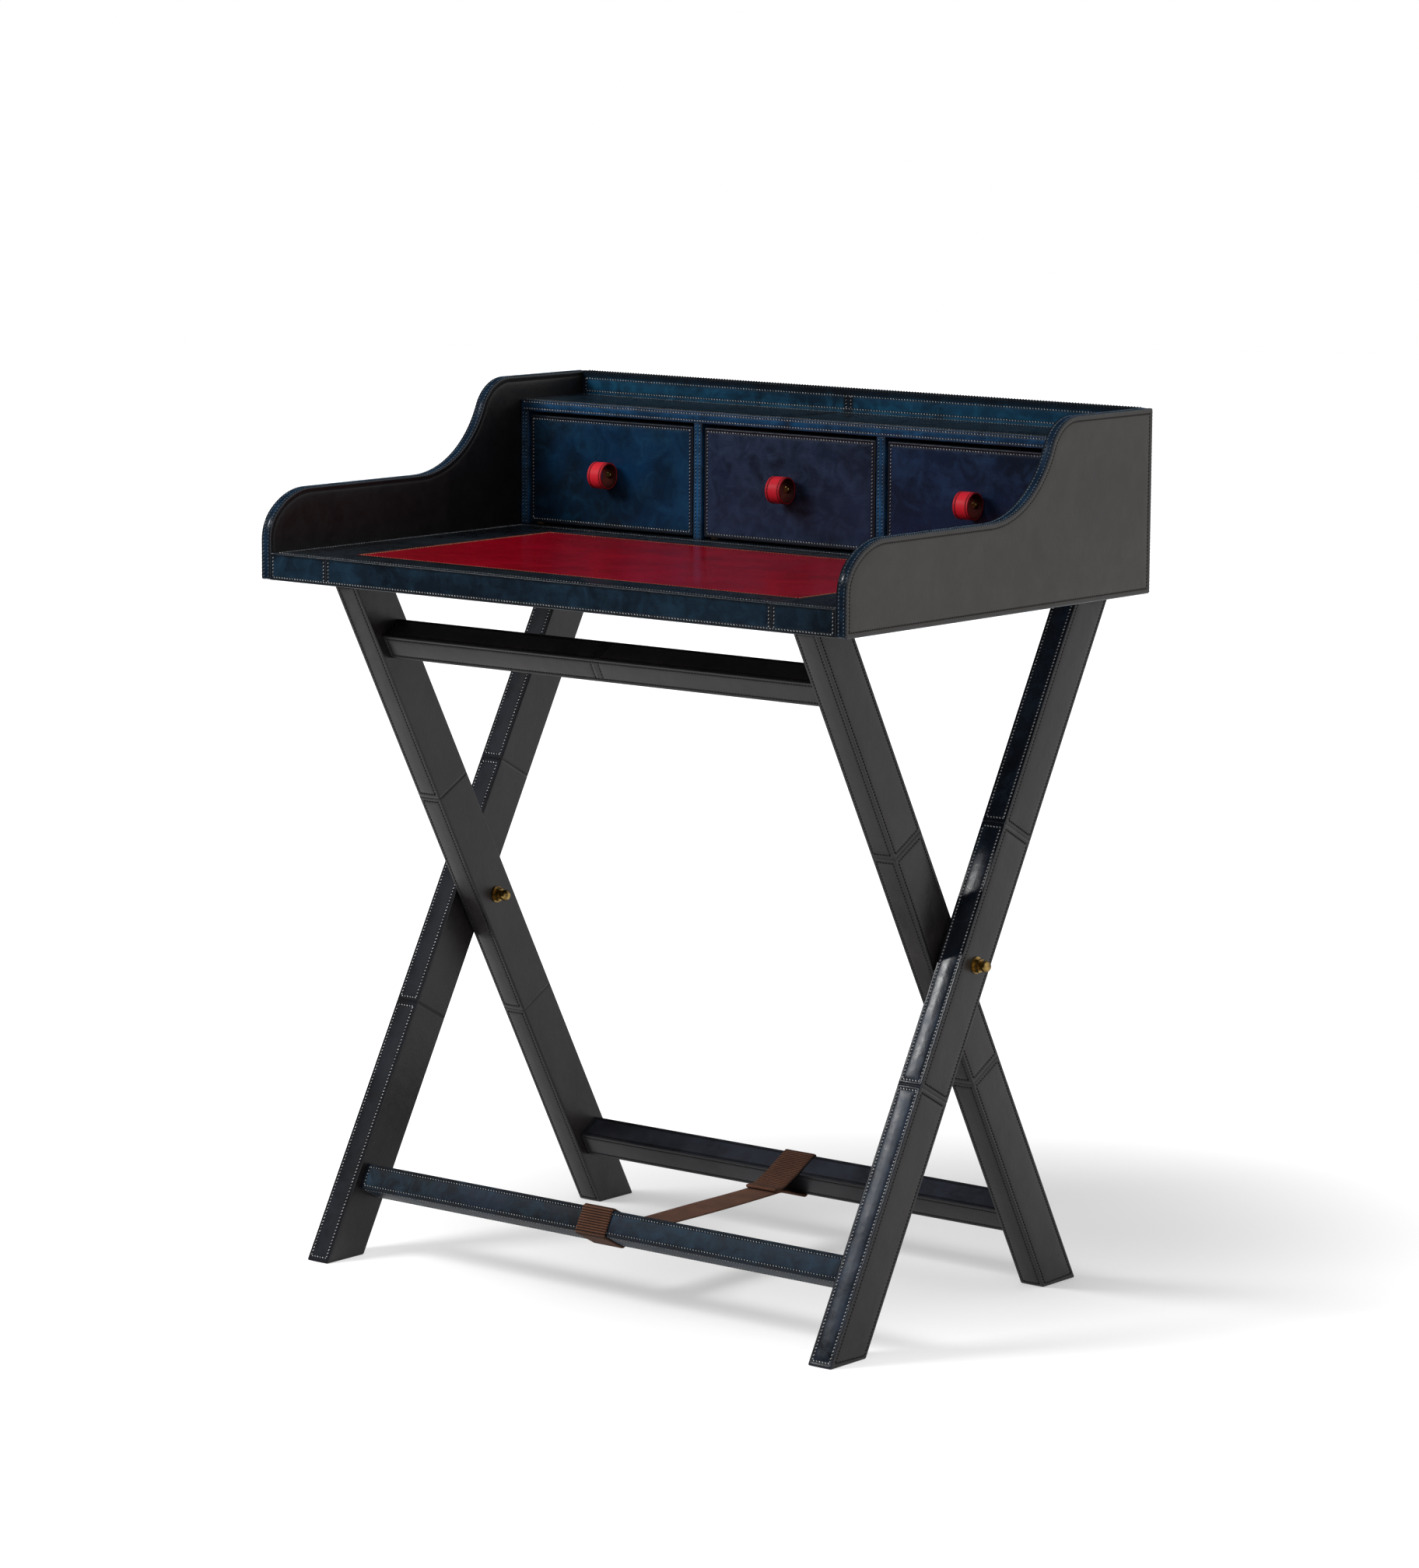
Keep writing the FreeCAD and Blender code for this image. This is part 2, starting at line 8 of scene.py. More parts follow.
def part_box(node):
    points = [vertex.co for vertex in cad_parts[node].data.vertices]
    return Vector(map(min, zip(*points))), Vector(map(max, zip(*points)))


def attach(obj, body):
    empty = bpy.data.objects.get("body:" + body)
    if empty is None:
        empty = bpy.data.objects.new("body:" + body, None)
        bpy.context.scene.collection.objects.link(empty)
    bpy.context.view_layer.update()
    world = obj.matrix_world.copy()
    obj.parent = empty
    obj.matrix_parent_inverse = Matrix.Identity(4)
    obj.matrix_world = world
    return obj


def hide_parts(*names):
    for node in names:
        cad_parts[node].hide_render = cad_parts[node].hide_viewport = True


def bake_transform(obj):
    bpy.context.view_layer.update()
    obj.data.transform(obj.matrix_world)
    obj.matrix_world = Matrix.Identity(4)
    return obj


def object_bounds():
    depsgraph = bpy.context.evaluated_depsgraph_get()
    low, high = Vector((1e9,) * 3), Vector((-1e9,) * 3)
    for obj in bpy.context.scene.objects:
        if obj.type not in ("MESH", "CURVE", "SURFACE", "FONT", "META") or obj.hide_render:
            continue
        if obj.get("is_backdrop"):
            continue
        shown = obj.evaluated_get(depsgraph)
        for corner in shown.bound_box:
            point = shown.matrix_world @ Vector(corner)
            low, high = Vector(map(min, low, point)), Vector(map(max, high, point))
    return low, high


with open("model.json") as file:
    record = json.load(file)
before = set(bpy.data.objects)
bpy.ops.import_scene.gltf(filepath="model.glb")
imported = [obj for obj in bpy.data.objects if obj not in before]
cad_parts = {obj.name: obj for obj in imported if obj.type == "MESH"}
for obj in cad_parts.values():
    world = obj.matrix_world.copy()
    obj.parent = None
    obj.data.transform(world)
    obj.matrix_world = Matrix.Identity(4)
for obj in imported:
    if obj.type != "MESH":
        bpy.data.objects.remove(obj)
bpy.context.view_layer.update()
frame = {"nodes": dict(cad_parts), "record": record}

# The view of the photograph: a long lens from the front right, a little above the writing surface.
# Its place and angles were fitted to corners of the desk that were measured on the photograph.
camera_place = (3.4748, -4.3073, 1.3678)
camera_yaw = math.radians(38.805)
camera_pitch = math.radians(-8.677)
camera_roll = math.radians(0.345)
camera_lens_mm = 123.0
camera_sensor_mm = 36.0

ahead = Vector((
    -math.sin(camera_yaw) * math.cos(camera_pitch),
    math.cos(camera_yaw) * math.cos(camera_pitch),
    math.sin(camera_pitch),
))
level_right = Vector((math.cos(camera_yaw), math.sin(camera_yaw), 0))
level_up = level_right.cross(ahead)
camera_right = level_right * math.cos(camera_roll) + level_up * math.sin(camera_roll)
camera_up = level_up * math.cos(camera_roll) - level_right * math.sin(camera_roll)
camera = bpy.data.objects.new("camera", bpy.data.cameras.new("camera"))
camera.data.lens = camera_lens_mm
camera.data.sensor_width = camera_sensor_mm
turned = Matrix((camera_right, camera_up, -ahead)).transposed().to_4x4()
camera.matrix_world = Matrix.Translation(camera_place) @ turned
bpy.context.scene.collection.objects.link(camera)
bpy.context.scene.camera = camera

# Legs of the X trestle: ash boards in charcoal saddle leather, three pieces of hide to each leg, butted
# square to the leg and saddle-stitched all round with waxed linen thread. The feet are cut level.
MM = 0.001
pivot_y = 5.5 * MM
pivot_z = 373 * MM
leg_lean = 0.55025
leg_angle = math.atan(leg_lean)
leg_depth = 52 * MM
leg_joints = (250 * MM, 500 * MM)
leg_row_margin = 4.4 * MM
leg_level_run = 60 * MM
leg_crown = 0.6 * MM
hide_round = 1.8 * MM
groove_depth = 0.8 * MM
# A tight row draws the hide in: (distance from the thread, share of the groove's depth)
draw_shares = ((0.0, 1.0), (0.7 * MM, 0.62), (1.6 * MM, 0.42), (4.4 * MM, 0.2), (9.5 * MM, 0.0))
darkening_reach = 1.3 * MM
butt_half_width = 0.45 * MM
butt_depth = 0.7 * MM
rim_reach = 14 * MM
hide_cell = 24 * MM
stitch_pitch = 3.7 * MM
stitch_length = 1.9 * MM
stitch_radius = 0.4 * MM
stitch_slant = math.radians(-35)
stitch_sunk = 0.45 * MM
stitch_dip = 0.5 * MM
stitch_sides = 5
leg_stitch = {"length": 2.1 * MM, "radius": 0.5 * MM, "sunk": 0.3 * MM}


def linear(hex_colour):
    """A hex sRGB colour as the linear RGBA that shaders take."""
    parts = [int(hex_colour[i:i + 2], 16) / 255 for i in (1, 3, 5)]
    return [c / 12.92 if c <= 0.04045 else ((c + 0.055) / 1.055) ** 2.4 for c in parts] + [1.0]


def node(tree, kind, inputs=(), **settings):
    """Adds a shader node with its settings, or takes one that is there, and fills its inputs, by name or in
    their order, with values, outputs, or other nodes, which stand for their own main output."""
    made = tree.nodes.new("ShaderNode" + kind) if isinstance(kind, str) else kind
    for field, value in settings.items():
        setattr(made, field, value)
    for name, value in inputs.items() if isinstance(inputs, dict) else enumerate(inputs):
        if isinstance(value, bpy.types.Node):
            value = value.outputs[2 if getattr(value, "data_type", "") == "RGBA" else 0]
        if isinstance(value, bpy.types.NodeSocket):
            tree.links.new(value, made.inputs[name])
        else:
            made.inputs[name].default_value = value
    return made


def new_material(name):
    """A new material with its nodes and its shader."""
    material = bpy.data.materials.new(name)
    material.use_nodes = True
    return material, material.node_tree, material.node_tree.nodes["Principled BSDF"]


def waxed_leather(name, dye, deep, worn, rim, roughness=0.3, gloss=0.0, streak=(1, 1, 1), wear=0.45,
                  rim_share=0.6, rim_width=3.2 * MM, edge="#3a4048", edge_share=0.35, speck_share=0.3,
                  specular=0.5, dirt_and_shade_share=0.9, grain_depth=0.12 * MM):
    """Vegetable-tanned saddle leather, dyed by hand and waxed: clouds of deeper and worn dye, dark margins
    outside the stitching, edges rubbed pale, dirt and painted shade that darken the stitch grooves to near
    black, and a fine grain under the gloss."""
    cloud_size = 95 * MM
    patch_size = 22 * MM
    streak_size = 130 * MM
    speck_size = 2.2 * MM
    grain_size = 1.5 * MM
    ripple_size = 42 * MM
    material, tree, shader = new_material(name)
    place = node(tree, "TexCoord").outputs["Object"]
    stretched = node(tree, "Mapping", {"Vector": place, "Scale": streak})
    clouds = node(tree, "TexNoise", {
        "Vector": place, "Scale": 1 / cloud_size, "Detail": 4, "Roughness": 0.62, "Distortion": 0.4})
    patches = node(tree, "TexNoise", {
        "Vector": place, "Scale": 1 / patch_size, "Detail": 7, "Roughness": 0.66, "Distortion": 0.8})
    streaks = node(tree, "TexNoise", {
        "Vector": stretched, "Scale": 1 / streak_size, "Detail": 6, "Roughness": 0.7})
    specks = node(tree, "TexNoise", {
        "Vector": place, "Scale": 1 / speck_size, "Detail": 3, "Roughness": 0.75})
    rubbed = node(tree, "Math", (patches, streaks), operation="ADD")
    from_rim = node(tree, "Attribute", attribute_name="rim").outputs["Fac"]
    pressed = node(tree, "Attribute", attribute_name="seam").outputs["Fac"]
    uneven = node(tree, "Math", (patches, 1.6 * MM, from_rim), operation="MULTIPLY_ADD")
    # Dirt and painted shade: the stitch grooves and butt joints are darkened towards near black
    dirt_and_shade = node(tree, "Math", (pressed, dirt_and_shade_share), operation="MULTIPLY")
    colour = linear(deep)
    for share, over in (
            (node(tree, "MapRange", (clouds, 0.38, 0.62)), dye),
            (node(tree, "MapRange", (rubbed, 0.92, 1.3, 0, wear)), worn),
            (node(tree, "MapRange", (specks, 0.66, 0.8, 0, speck_share)), worn),
            (node(tree, "MapRange", (uneven, rim_width, rim_width + 1.6 * MM, rim_share, 0)), rim),
            (node(tree, "MapRange", (uneven, 0.7 * MM, 1.7 * MM, edge_share, 0)), edge),
            (dirt_and_shade, "#030304")):
        colour = node(tree, "Mix", {0: share, 6: colour, 7: linear(over)}, data_type="RGBA")
    sheen = node(tree, "MapRange", (rubbed, 0.75, 1.3, roughness - 0.05, roughness + 0.1))
    dusty = node(tree, "Mix", {0: dirt_and_shade, 2: sheen, 3: 0.9})
    grain = node(tree, "TexVoronoi", {
        "Vector": place, "Scale": 1 / grain_size, "Randomness": 1.0}, feature="F1")
    pebbles = node(tree, "Math", (grain, specks), operation="ADD")
    ripple = node(tree, "TexNoise", {
        "Vector": place, "Scale": 1 / ripple_size, "Detail": 3, "Roughness": 0.5})
    wavy = node(tree, "Bump", {"Height": ripple, "Strength": 1.0, "Distance": 0.9 * MM})
    grained = node(tree, "Bump", {
        "Height": pebbles, "Strength": 0.5, "Distance": grain_depth, "Normal": wavy})
    node(tree, shader, {
        "Base Color": colour, "Roughness": dusty, "Normal": grained, "Specular IOR Level": specular,
        "Coat Weight": gloss, "Coat Roughness": 0.14})
    return material


def linen_thread(name, pale, dark, roughness=0.6, specular=0.4):
    """Waxed linen saddle thread: a little darker and lighter from stitch to stitch."""
    material, tree, shader = new_material(name)
    place = node(tree, "TexCoord").outputs["Object"]
    each = node(tree, "TexNoise", {
        "Vector": place, "Scale": 1 / (5 * MM), "Detail": 4, "Roughness": 0.8})
    share = node(tree, "MapRange", (each, 0.36, 0.6))
    colour = node(tree, "Mix", {0: share, 6: linear(dark), 7: linear(pale)}, data_type="RGBA")
    strands = node(tree, "TexNoise", {"Vector": place, "Scale": 1 / (0.5 * MM), "Detail": 2})
    twist = node(tree, "Bump", {"Height": strands, "Strength": 0.5, "Distance": 0.1 * MM})
    node(tree, shader, {
        "Base Color": colour, "Normal": twist, "Roughness": roughness, "Specular IOR Level": specular})
    return material


def row(face, along, at, start, stop, thread=True):
    """A line of stitches, or without thread a butt joint, on one face of a board."""
    return {"face": face, "along": along, "at": at, "start": start, "stop": stop, "thread": thread,
            "across": 3 - face[0] - along}


def panel(face, low, high, margin):
    """The four rows that sew down one piece of hide, whose corners are low and high."""
    a, b = [axis for axis in range(3) if axis != face[0]]
    made = []
    for along, across in ((a, b), (b, a)):
        for at in (low[across] + margin, high[across] - margin):
            made.append(row(face, along, at, low[along] + margin, high[along] - margin))
    return made


def drawn_in(off):
    """How far a row of stitches draws the hide in at a distance from it, as a share of its depth."""
    for (near, high), (far, low) in zip(draw_shares, draw_shares[1:]):
        if off <= far:
            return high + (low - high) * (off - near) / (far - near)
    return 0.0


def depth_at(rows, face, spot):
    """How deep the rows press the leather at a spot of a face, how far dirt and painted shade darken it
    there, and how far that is from a butt joint."""
    deepest, groove_darkening, clear = 0.0, 0.0, rim_reach
    for line in rows:
        if line["face"] != face:
            continue
        off = abs(spot[line["across"]] - line["at"])
        t = spot[line["along"]]
        past = max(line["start"] - t, t - line["stop"], 0.0)
        if line["thread"]:
            off = math.hypot(off, past)
            deepest = max(deepest, groove_depth * drawn_in(off))
            groove_darkening = max(groove_darkening, 1 - off / darkening_reach)
        elif past < 1e-6:
            clear = min(clear, off)
            deepest = max(deepest, butt_depth * (1 - off / butt_half_width))
            groove_darkening = max(groove_darkening, 1 - off / butt_half_width)
    return deepest, groove_darkening, clear


def stations(low, high, rounding, lines):
    """Where the mesh is cut along one axis of a board: at its rounded ends, at its lines, which are pairs of
    (place, turn to be heard), and evenly between."""
    made = []
    for k in range(4):
        step = rounding * (1 - math.tan(math.radians(15 * k)))
        made += [low + step, high - step]
    for value, _ in sorted(lines, key=lambda line: line[1]):
        if low < value < high and all(abs(value - m) > 0.14 * MM for m in made):
            made.append(value)
    for value in (low + rim_reach, high - rim_reach):
        if low < value < high and all(abs(value - m) > 3 * MM for m in made):
            made.append(value)
    made.sort()
    filled = []
    for a, b in zip(made, made[1:]):
        count = max(1, math.ceil((b - a) / hide_cell))
        filled += [a + (b - a) * k / count for k in range(count)]
    return filled + [made[-1]]


def mesh_piece(name, points, faces, materials, attributes=(), indices=None):
    """A smooth mesh object with its materials and its named numbers at each point."""
    mesh = bpy.data.meshes.new(name)
    mesh.from_pydata(points, [], faces)
    for material in materials:
        mesh.materials.append(material)
    for key, values in dict(attributes).items():
        layer = mesh.attributes.new(key, "FLOAT", "POINT")
        layer.data.foreach_set("value", values)
    if indices:
        mesh.polygons.foreach_set("material_index", indices)
    mesh.polygons.foreach_set("use_smooth", [True] * len(mesh.polygons))
    mesh.update()
    piece = bpy.data.objects.new(name, mesh)
    bpy.context.scene.collection.objects.link(piece)
    return piece


def board(name, low, high, place, materials, rows, rounding=(hide_round,) * 3, wells=(), finish=None):
    """A board covered in leather: a box with rounded edges in its own three directions, pressed in along
    its rows of stitches and down in its wells, and put in place by a function."""
    cuts = []
    for axis in range(3):
        lines = []
        for line in rows:
            offs = [off for off, _ in draw_shares[1:]] if line["thread"] else [butt_half_width]
            if line["across"] == axis:
                lines.append((line["at"], 0))
                lines += [(line["at"] + side * off, 1) for off in offs for side in (-1, 1)]
            if line["along"] == axis:
                lines += [(line["start"], 2), (line["stop"], 2)]
        for face, corner, far, _ in wells:
            if axis != face[0]:
                lines += [(corner[axis], 0), (corner[axis] + 0.3 * MM, 0), (far[axis], 0),
                          (far[axis] - 0.3 * MM, 0)]
        cuts.append(stations(low[axis], high[axis], rounding[axis], lines))
    ends = [len(c) - 1 for c in cuts]
    found, points, faces, rims, seams, indices = {}, [], [], [], [], []

    def point_at(key):
        if key in found:
            return found[key]
        flat = [cuts[a][key[a]] for a in range(3)]
        inner = [min(max(flat[a], low[a] + rounding[a]), high[a] - rounding[a]) for a in range(3)]
        push = [(flat[a] - inner[a]) / rounding[a] for a in range(3)]
        length = math.sqrt(sum(p * p for p in push)) or 1.0
        spot = [inner[a] + rounding[a] * push[a] / length for a in range(3)]
        rim, seam = rim_reach, 0.0
        for a in range(3):
            for side, end in ((-1, 0), (1, ends[a])):
                if key[a] != end:
                    continue
                depth, groove_darkening, clear = depth_at(rows, (a, side), flat)
                for face, corner, far, well_depth in wells:
                    inside = all(corner[b] + 0.2 * MM < flat[b] < far[b] - 0.2 * MM
                                 for b in range(3) if b != a)
                    if face == (a, side) and inside:
                        depth = well_depth
                spot[a] -= side * depth
                seam = max(seam, groove_darkening)
                gaps = [min(flat[b] - low[b], high[b] - flat[b]) for b in range(3) if b != a]
                rim = min([rim, clear] + gaps)
        points.append(place(spot))
        rims.append(rim)
        seams.append(seam)
        found[key] = len(points) - 1
        return found[key]

    for a in range(3):
        b, c = [axis for axis in range(3) if axis != a]
        for side, end in ((-1, 0), (1, ends[a])):
            chosen = (finish or {}).get((a, side), 0)
            for i in range(ends[b]):
                for j in range(ends[c]):
                    corners = []
                    for di, dj in ((0, 0), (1, 0), (1, 1), (0, 1)):
                        key = [0, 0, 0]
                        key[a], key[b], key[c] = end, i + di, j + dj
                        corners.append(point_at(tuple(key)))
                    outward = (side > 0) == (a != 1)
                    faces.append(corners if outward else corners[::-1])
                    indices.append(chosen)
    mirrored = (place((1, 0, 0)) - place((0, 0, 0))).cross(place((0, 1, 0)) - place((0, 0, 0))).dot(
        place((0, 0, 1)) - place((0, 0, 0))) < 0
    if mirrored:
        faces = [f[::-1] for f in faces]
    return mesh_piece(name, points, faces, materials, {"rim": rims, "seam": seams}, indices)


def rows_in_place(rows, low, high, place):
    """The stitched rows as lines of (point, outward direction) in the desk's frame."""
    lines = []
    for line in rows:
        if not line["thread"]:
            continue
        axis, side = line["face"]
        ends = []
        for t in (line["start"], line["stop"]):
            spot = [0, 0, 0]
            spot[axis] = high[axis] if side > 0 else low[axis]
            spot[line["along"]] = t
            spot[line["across"]] = line["at"]
            raised = list(spot)
            raised[axis] += side * MM
            ends.append((place(spot), (place(raised) - place(spot)).normalized()))
        lines.append(ends)
    return lines


def sew(name, lines, material, slant=stitch_slant, length=stitch_length, radius=stitch_radius,
        sunk=stitch_sunk, across=False):
    """Saddle stitches along lines: short slanted lengths of round thread whose ends dip into their holes."""
    points, faces = [], []
    for line in lines:
        t = stitch_pitch / 2
        for (a, normal_a), (b, normal_b) in zip(line, line[1:]):
            run = (b - a).length
            if run < 1e-7:
                continue
            ahead_dir = (b - a) / run
            while t < run:
                out = normal_a.lerp(normal_b, t / run).normalized()
                over = out.cross(ahead_dir).normalized()
                lie = over if across else ahead_dir * math.cos(slant) + over * math.sin(slant)
                wide = out.cross(lie).normalized()
                middle = a + ahead_dir * t - out * sunk
                base = len(points)
                half = length / 2
                points.append(middle - lie * half - out * stitch_dip)
                for share in (-0.36, 0.36):
                    centre = middle + lie * (length * share)
                    for k in range(stitch_sides):
                        turn = 2 * math.pi * k / stitch_sides
                        points.append(centre + (wide * math.cos(turn) + out * math.sin(turn)) * radius)
                points.append(middle + lie * half - out * stitch_dip)
                last = base + 2 * stitch_sides + 1
                for k in range(stitch_sides):
                    n = (k + 1) % stitch_sides
                    first, second = base + 1 + k, base + 1 + n
                    faces.append((base, second, first))
                    faces.append((first, second, second + stitch_sides, first + stitch_sides))
                    faces.append((first + stitch_sides, second + stitch_sides, last))
                t += stitch_pitch
            t -= run
    return mesh_piece(name, points, faces, [material])


def sew_on(name, lines, thread, body, slot, **how):
    """Sews stitches that move with a body."""
    stitches = sew(name, lines, thread, **how)
    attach(stitches, body)


def cover(covered, name, hides, rows, body, slot, stitches="", thread=None, box=None, place=Vector, **how):
    """Covers a board of the CAD part: a piece in leather that takes its place, and its rows of stitches."""
    low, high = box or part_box(covered)
    leather = board(name, low, high, place, hides, rows, **how)
    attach(leather, body)
    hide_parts(covered)
    if stitches:
        sew_on(stitches, rows_in_place(rows, low, high, place), thread, body, slot)


# The legs' sides: dark grey, half matt, with faint streaks down the leg and narrow pale rubbed edges
charcoal = waxed_leather(
    "charcoal_saddle_leather", dye="#282425", deep="#1b1819", worn="#342f35", rim="#121113",
    roughness=0.34, streak=(1, 1, 0.35), wear=0.45, edge="#45444a", specular=0.36, dirt_and_shade_share=0.5)
# The right outer leg's front: polished until a lamp shows in it, so blue dye glows in one long highlight
blue_black = waxed_leather(
    "polished_blue_black_leather", dye="#131b27", deep="#0c1018", worn="#2a3c52", rim="#08090c",
    roughness=0.26, streak=(1, 1, 0.3), wear=0.55, edge="#606368", edge_share=0.5, grain_depth=0.05 * MM)
# The left outer leg's front: waxed but not polished, so it looks nearly black
satin_black = waxed_leather(
    "satin_blue_black_leather", dye="#1f2127", deep="#17181c", worn="#2c313a", rim="#0b0b0e",
    roughness=0.48, streak=(1, 1, 0.3), wear=0.5, edge="#3c3d42", specular=0.18)
# Undyed thread reads as fine pale dots, dyed thread hardly shows, and the waxed thread on the outer legs'
# fronts is drawn near white as a painted glint, though the thread on their sides is dark
linen_pale = linen_thread("pale_linen_thread", pale="#c2c4c6", dark="#6a6e72")
linen_dark = linen_thread("dark_linen_thread", pale="#141315", dark="#070708", roughness=0.4, specular=0.15)
linen_painted_glint = linen_thread("waxed_thread_painted_glint", pale="#dfe0e2", dark="#6e6f72", roughness=0.3, specular=0.7)

# The outer legs' front rows take the near-white thread of painted glint, and every other row of the legs dark
# thread
for group, lean, front_thread in (("outer", -1, linen_painted_glint), ("inner", 1, linen_dark)):
    for word in ("left", "right"):
        side = group + "_" + word
        leg_low, leg_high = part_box("leg_" + side)
        low = (leg_low.x, -leg_depth / 2, leg_low.z)
        high = (leg_high.x, leg_depth / 2, leg_high.z)

        def in_leg(spot, lean=lean, low=low, high=high):
            """From the leg's own width, depth and length. Lines across it lie square to it, but its ends are
            level, and it is a little deeper along its middle than at its sides."""
            x, d, s = spot
            aside = (2 * x - low[0] - high[0]) / (high[0] - low[0])
            d *= 1 - 2 * leg_crown / leg_depth * aside * aside
            level = min(1.0, max(0.0, (s - low[2]) / leg_level_run), max(0.0, (high[2] - s) / leg_level_run))
            z = s + lean * d * math.sin(leg_angle) * level
            middle = pivot_y - lean * (z - pivot_z) * leg_lean
            return Vector((x, middle + d / math.cos(leg_angle), z))

        rows = []
        ends = (low[2],) + leg_joints + (high[2],)
        for face in ((0, -1), (0, 1), (1, -1), (1, 1)):
            # The left legs are plain on their inner side
            if word == "right" or face != (0, 1):
                for start, stop in zip(ends, ends[1:]):
                    rows += panel(face, (low[0], low[1], start), (high[0], high[1], stop), leg_row_margin)
            other = 1 - face[0]
            for joint in leg_joints:
                rows.append(row(face, other, joint, low[other], high[other], thread=False))
        front_hide = charcoal if group == "inner" else blue_black if word == "right" else satin_black
        cover("leg_" + side, "leg_cover_" + side, [charcoal, front_hide], rows, group + "_frame",
              "leather_trestle", box=(low, high), place=in_leg, finish={(1, -1): 1})
        fronts = [line for line in rows if line["face"] == (1, -1)]
        others = [line for line in rows if line["face"] != (1, -1)]
        for label, chosen, thread in (("front", fronts, front_thread), ("side", others, linen_dark)):
            sew_on("leg_" + label + "_stitches_" + side, rows_in_place(chosen, low, high, in_leg), thread,
                   group + "_frame", "leather_trestle", **leg_stitch)

# Stretchers: three ash rails between the legs, tenoned into them and covered like them. The low front one
# joins the outer legs, and the low back one and the top one join the inner legs.
stretcher_depth = 33 * MM
stretcher_height = 29 * MM
stretcher_row_margin = 4.2 * MM
rail_joint_row = 5 * MM
stretcher_end_round = 0.3 * MM

# The front rail: worn blue clouds over near black, with a dull shine
front_blue = waxed_leather(
    "blue_stretcher_leather", dye="#1d2532", deep="#14181d", worn="#2c4557", rim="#0b0c0f",
    roughness=0.44, streak=(0.3, 1, 1), wear=0.6, specular=0.18)
# The back rail's sides: the legs' charcoal, with its streaks along the rail
back_grey = waxed_leather(
    "grey_stretcher_leather", dye="#29272b", deep="#1e1d20", worn="#333137", rim="#121114",
    roughness=0.34, streak=(0.3, 1, 1), wear=0.4, edge="#45444a", specular=0.36)
# The back rail's top: a dustier blue-black that stays dark in the light
back_top_blue = waxed_leather(
    "blue_black_stretcher_leather", dye="#2b2c33", deep="#212227", worn="#333844", rim="#0e0e10",
    roughness=0.36, streak=(0.3, 1, 1), wear=0.5, specular=0.2)

for word, lean, group, hide, thread in (
        ("front", -1, "outer", front_blue, linen_pale),
        ("back", 1, "inner", back_grey, linen_dark),
        ("top", 1, "inner", charcoal, linen_dark)):
    rail_low, rail_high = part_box("stretcher_" + word)
    middle = (rail_low + rail_high) / 2
    low = (rail_low.x, -stretcher_depth / 2, -stretcher_height / 2)
    high = (rail_high.x, stretcher_depth / 2, stretcher_height / 2)

    def in_rail(spot, lean=lean, middle=middle):
        """From the rail's own length, depth and height, which lean with its legs."""
        x, d, s = spot
        y = d * math.cos(leg_angle) - lean * s * math.sin(leg_angle)
        z = lean * d * math.sin(leg_angle) + s * math.cos(leg_angle)
        return Vector((x, middle.y + y, middle.z + z))

    rows = []
    for face in ((1, -1), (1, 1), (2, -1), (2, 1)):
        rows += panel(face, low, high, stretcher_row_margin)
        if word == "top":
            other = 3 - face[0]
            for off in (-rail_joint_row, rail_joint_row):
                rows.append(row(face, other, off, low[other] + stretcher_row_margin,
                                high[other] - stretcher_row_margin))
            rows.append(row(face, other, 0, low[other], high[other], thread=False))
    cover("stretcher_" + word, "stretcher_cover_" + word, [hide, back_top_blue], rows, group + "_frame",
          "leather_trestle", "stretcher_stitches_" + word, thread, (low, high), in_rail,
          rounding=(stretcher_end_round, hide_round, hide_round),
          finish={(2, 1): 1} if word == "back" else None)

# Strap: one length of ribbed brown cotton webbing. Each end goes over, behind and under a low stretcher and
# is folded under and sewn back down on itself. The free span between stops the legs from spreading.
strap_width = 40 * MM
strap_thickness = 1.8 * MM
strap_round = 3.2 * MM
# A real rib is about 2.5 mm wide. It is drawn a little wider, so that the ribs show in a whole view
rib_pitch = 2.75 * MM
rib_rise = 0.5 * MM
rib_steps = 8
edge_tooth = 0.4 * MM
strap_level = 69.1 * MM
join_y = 115.85 * MM
hem_length = 10 * MM
hem_round = 0.85 * MM
hem_row_half = 18 * MM
hem_row_margin = 2.5 * MM
under_from = 0.62
flat_rib_share = 0.35
span_sag = 1.2 * MM
span_curl = 2.4 * MM


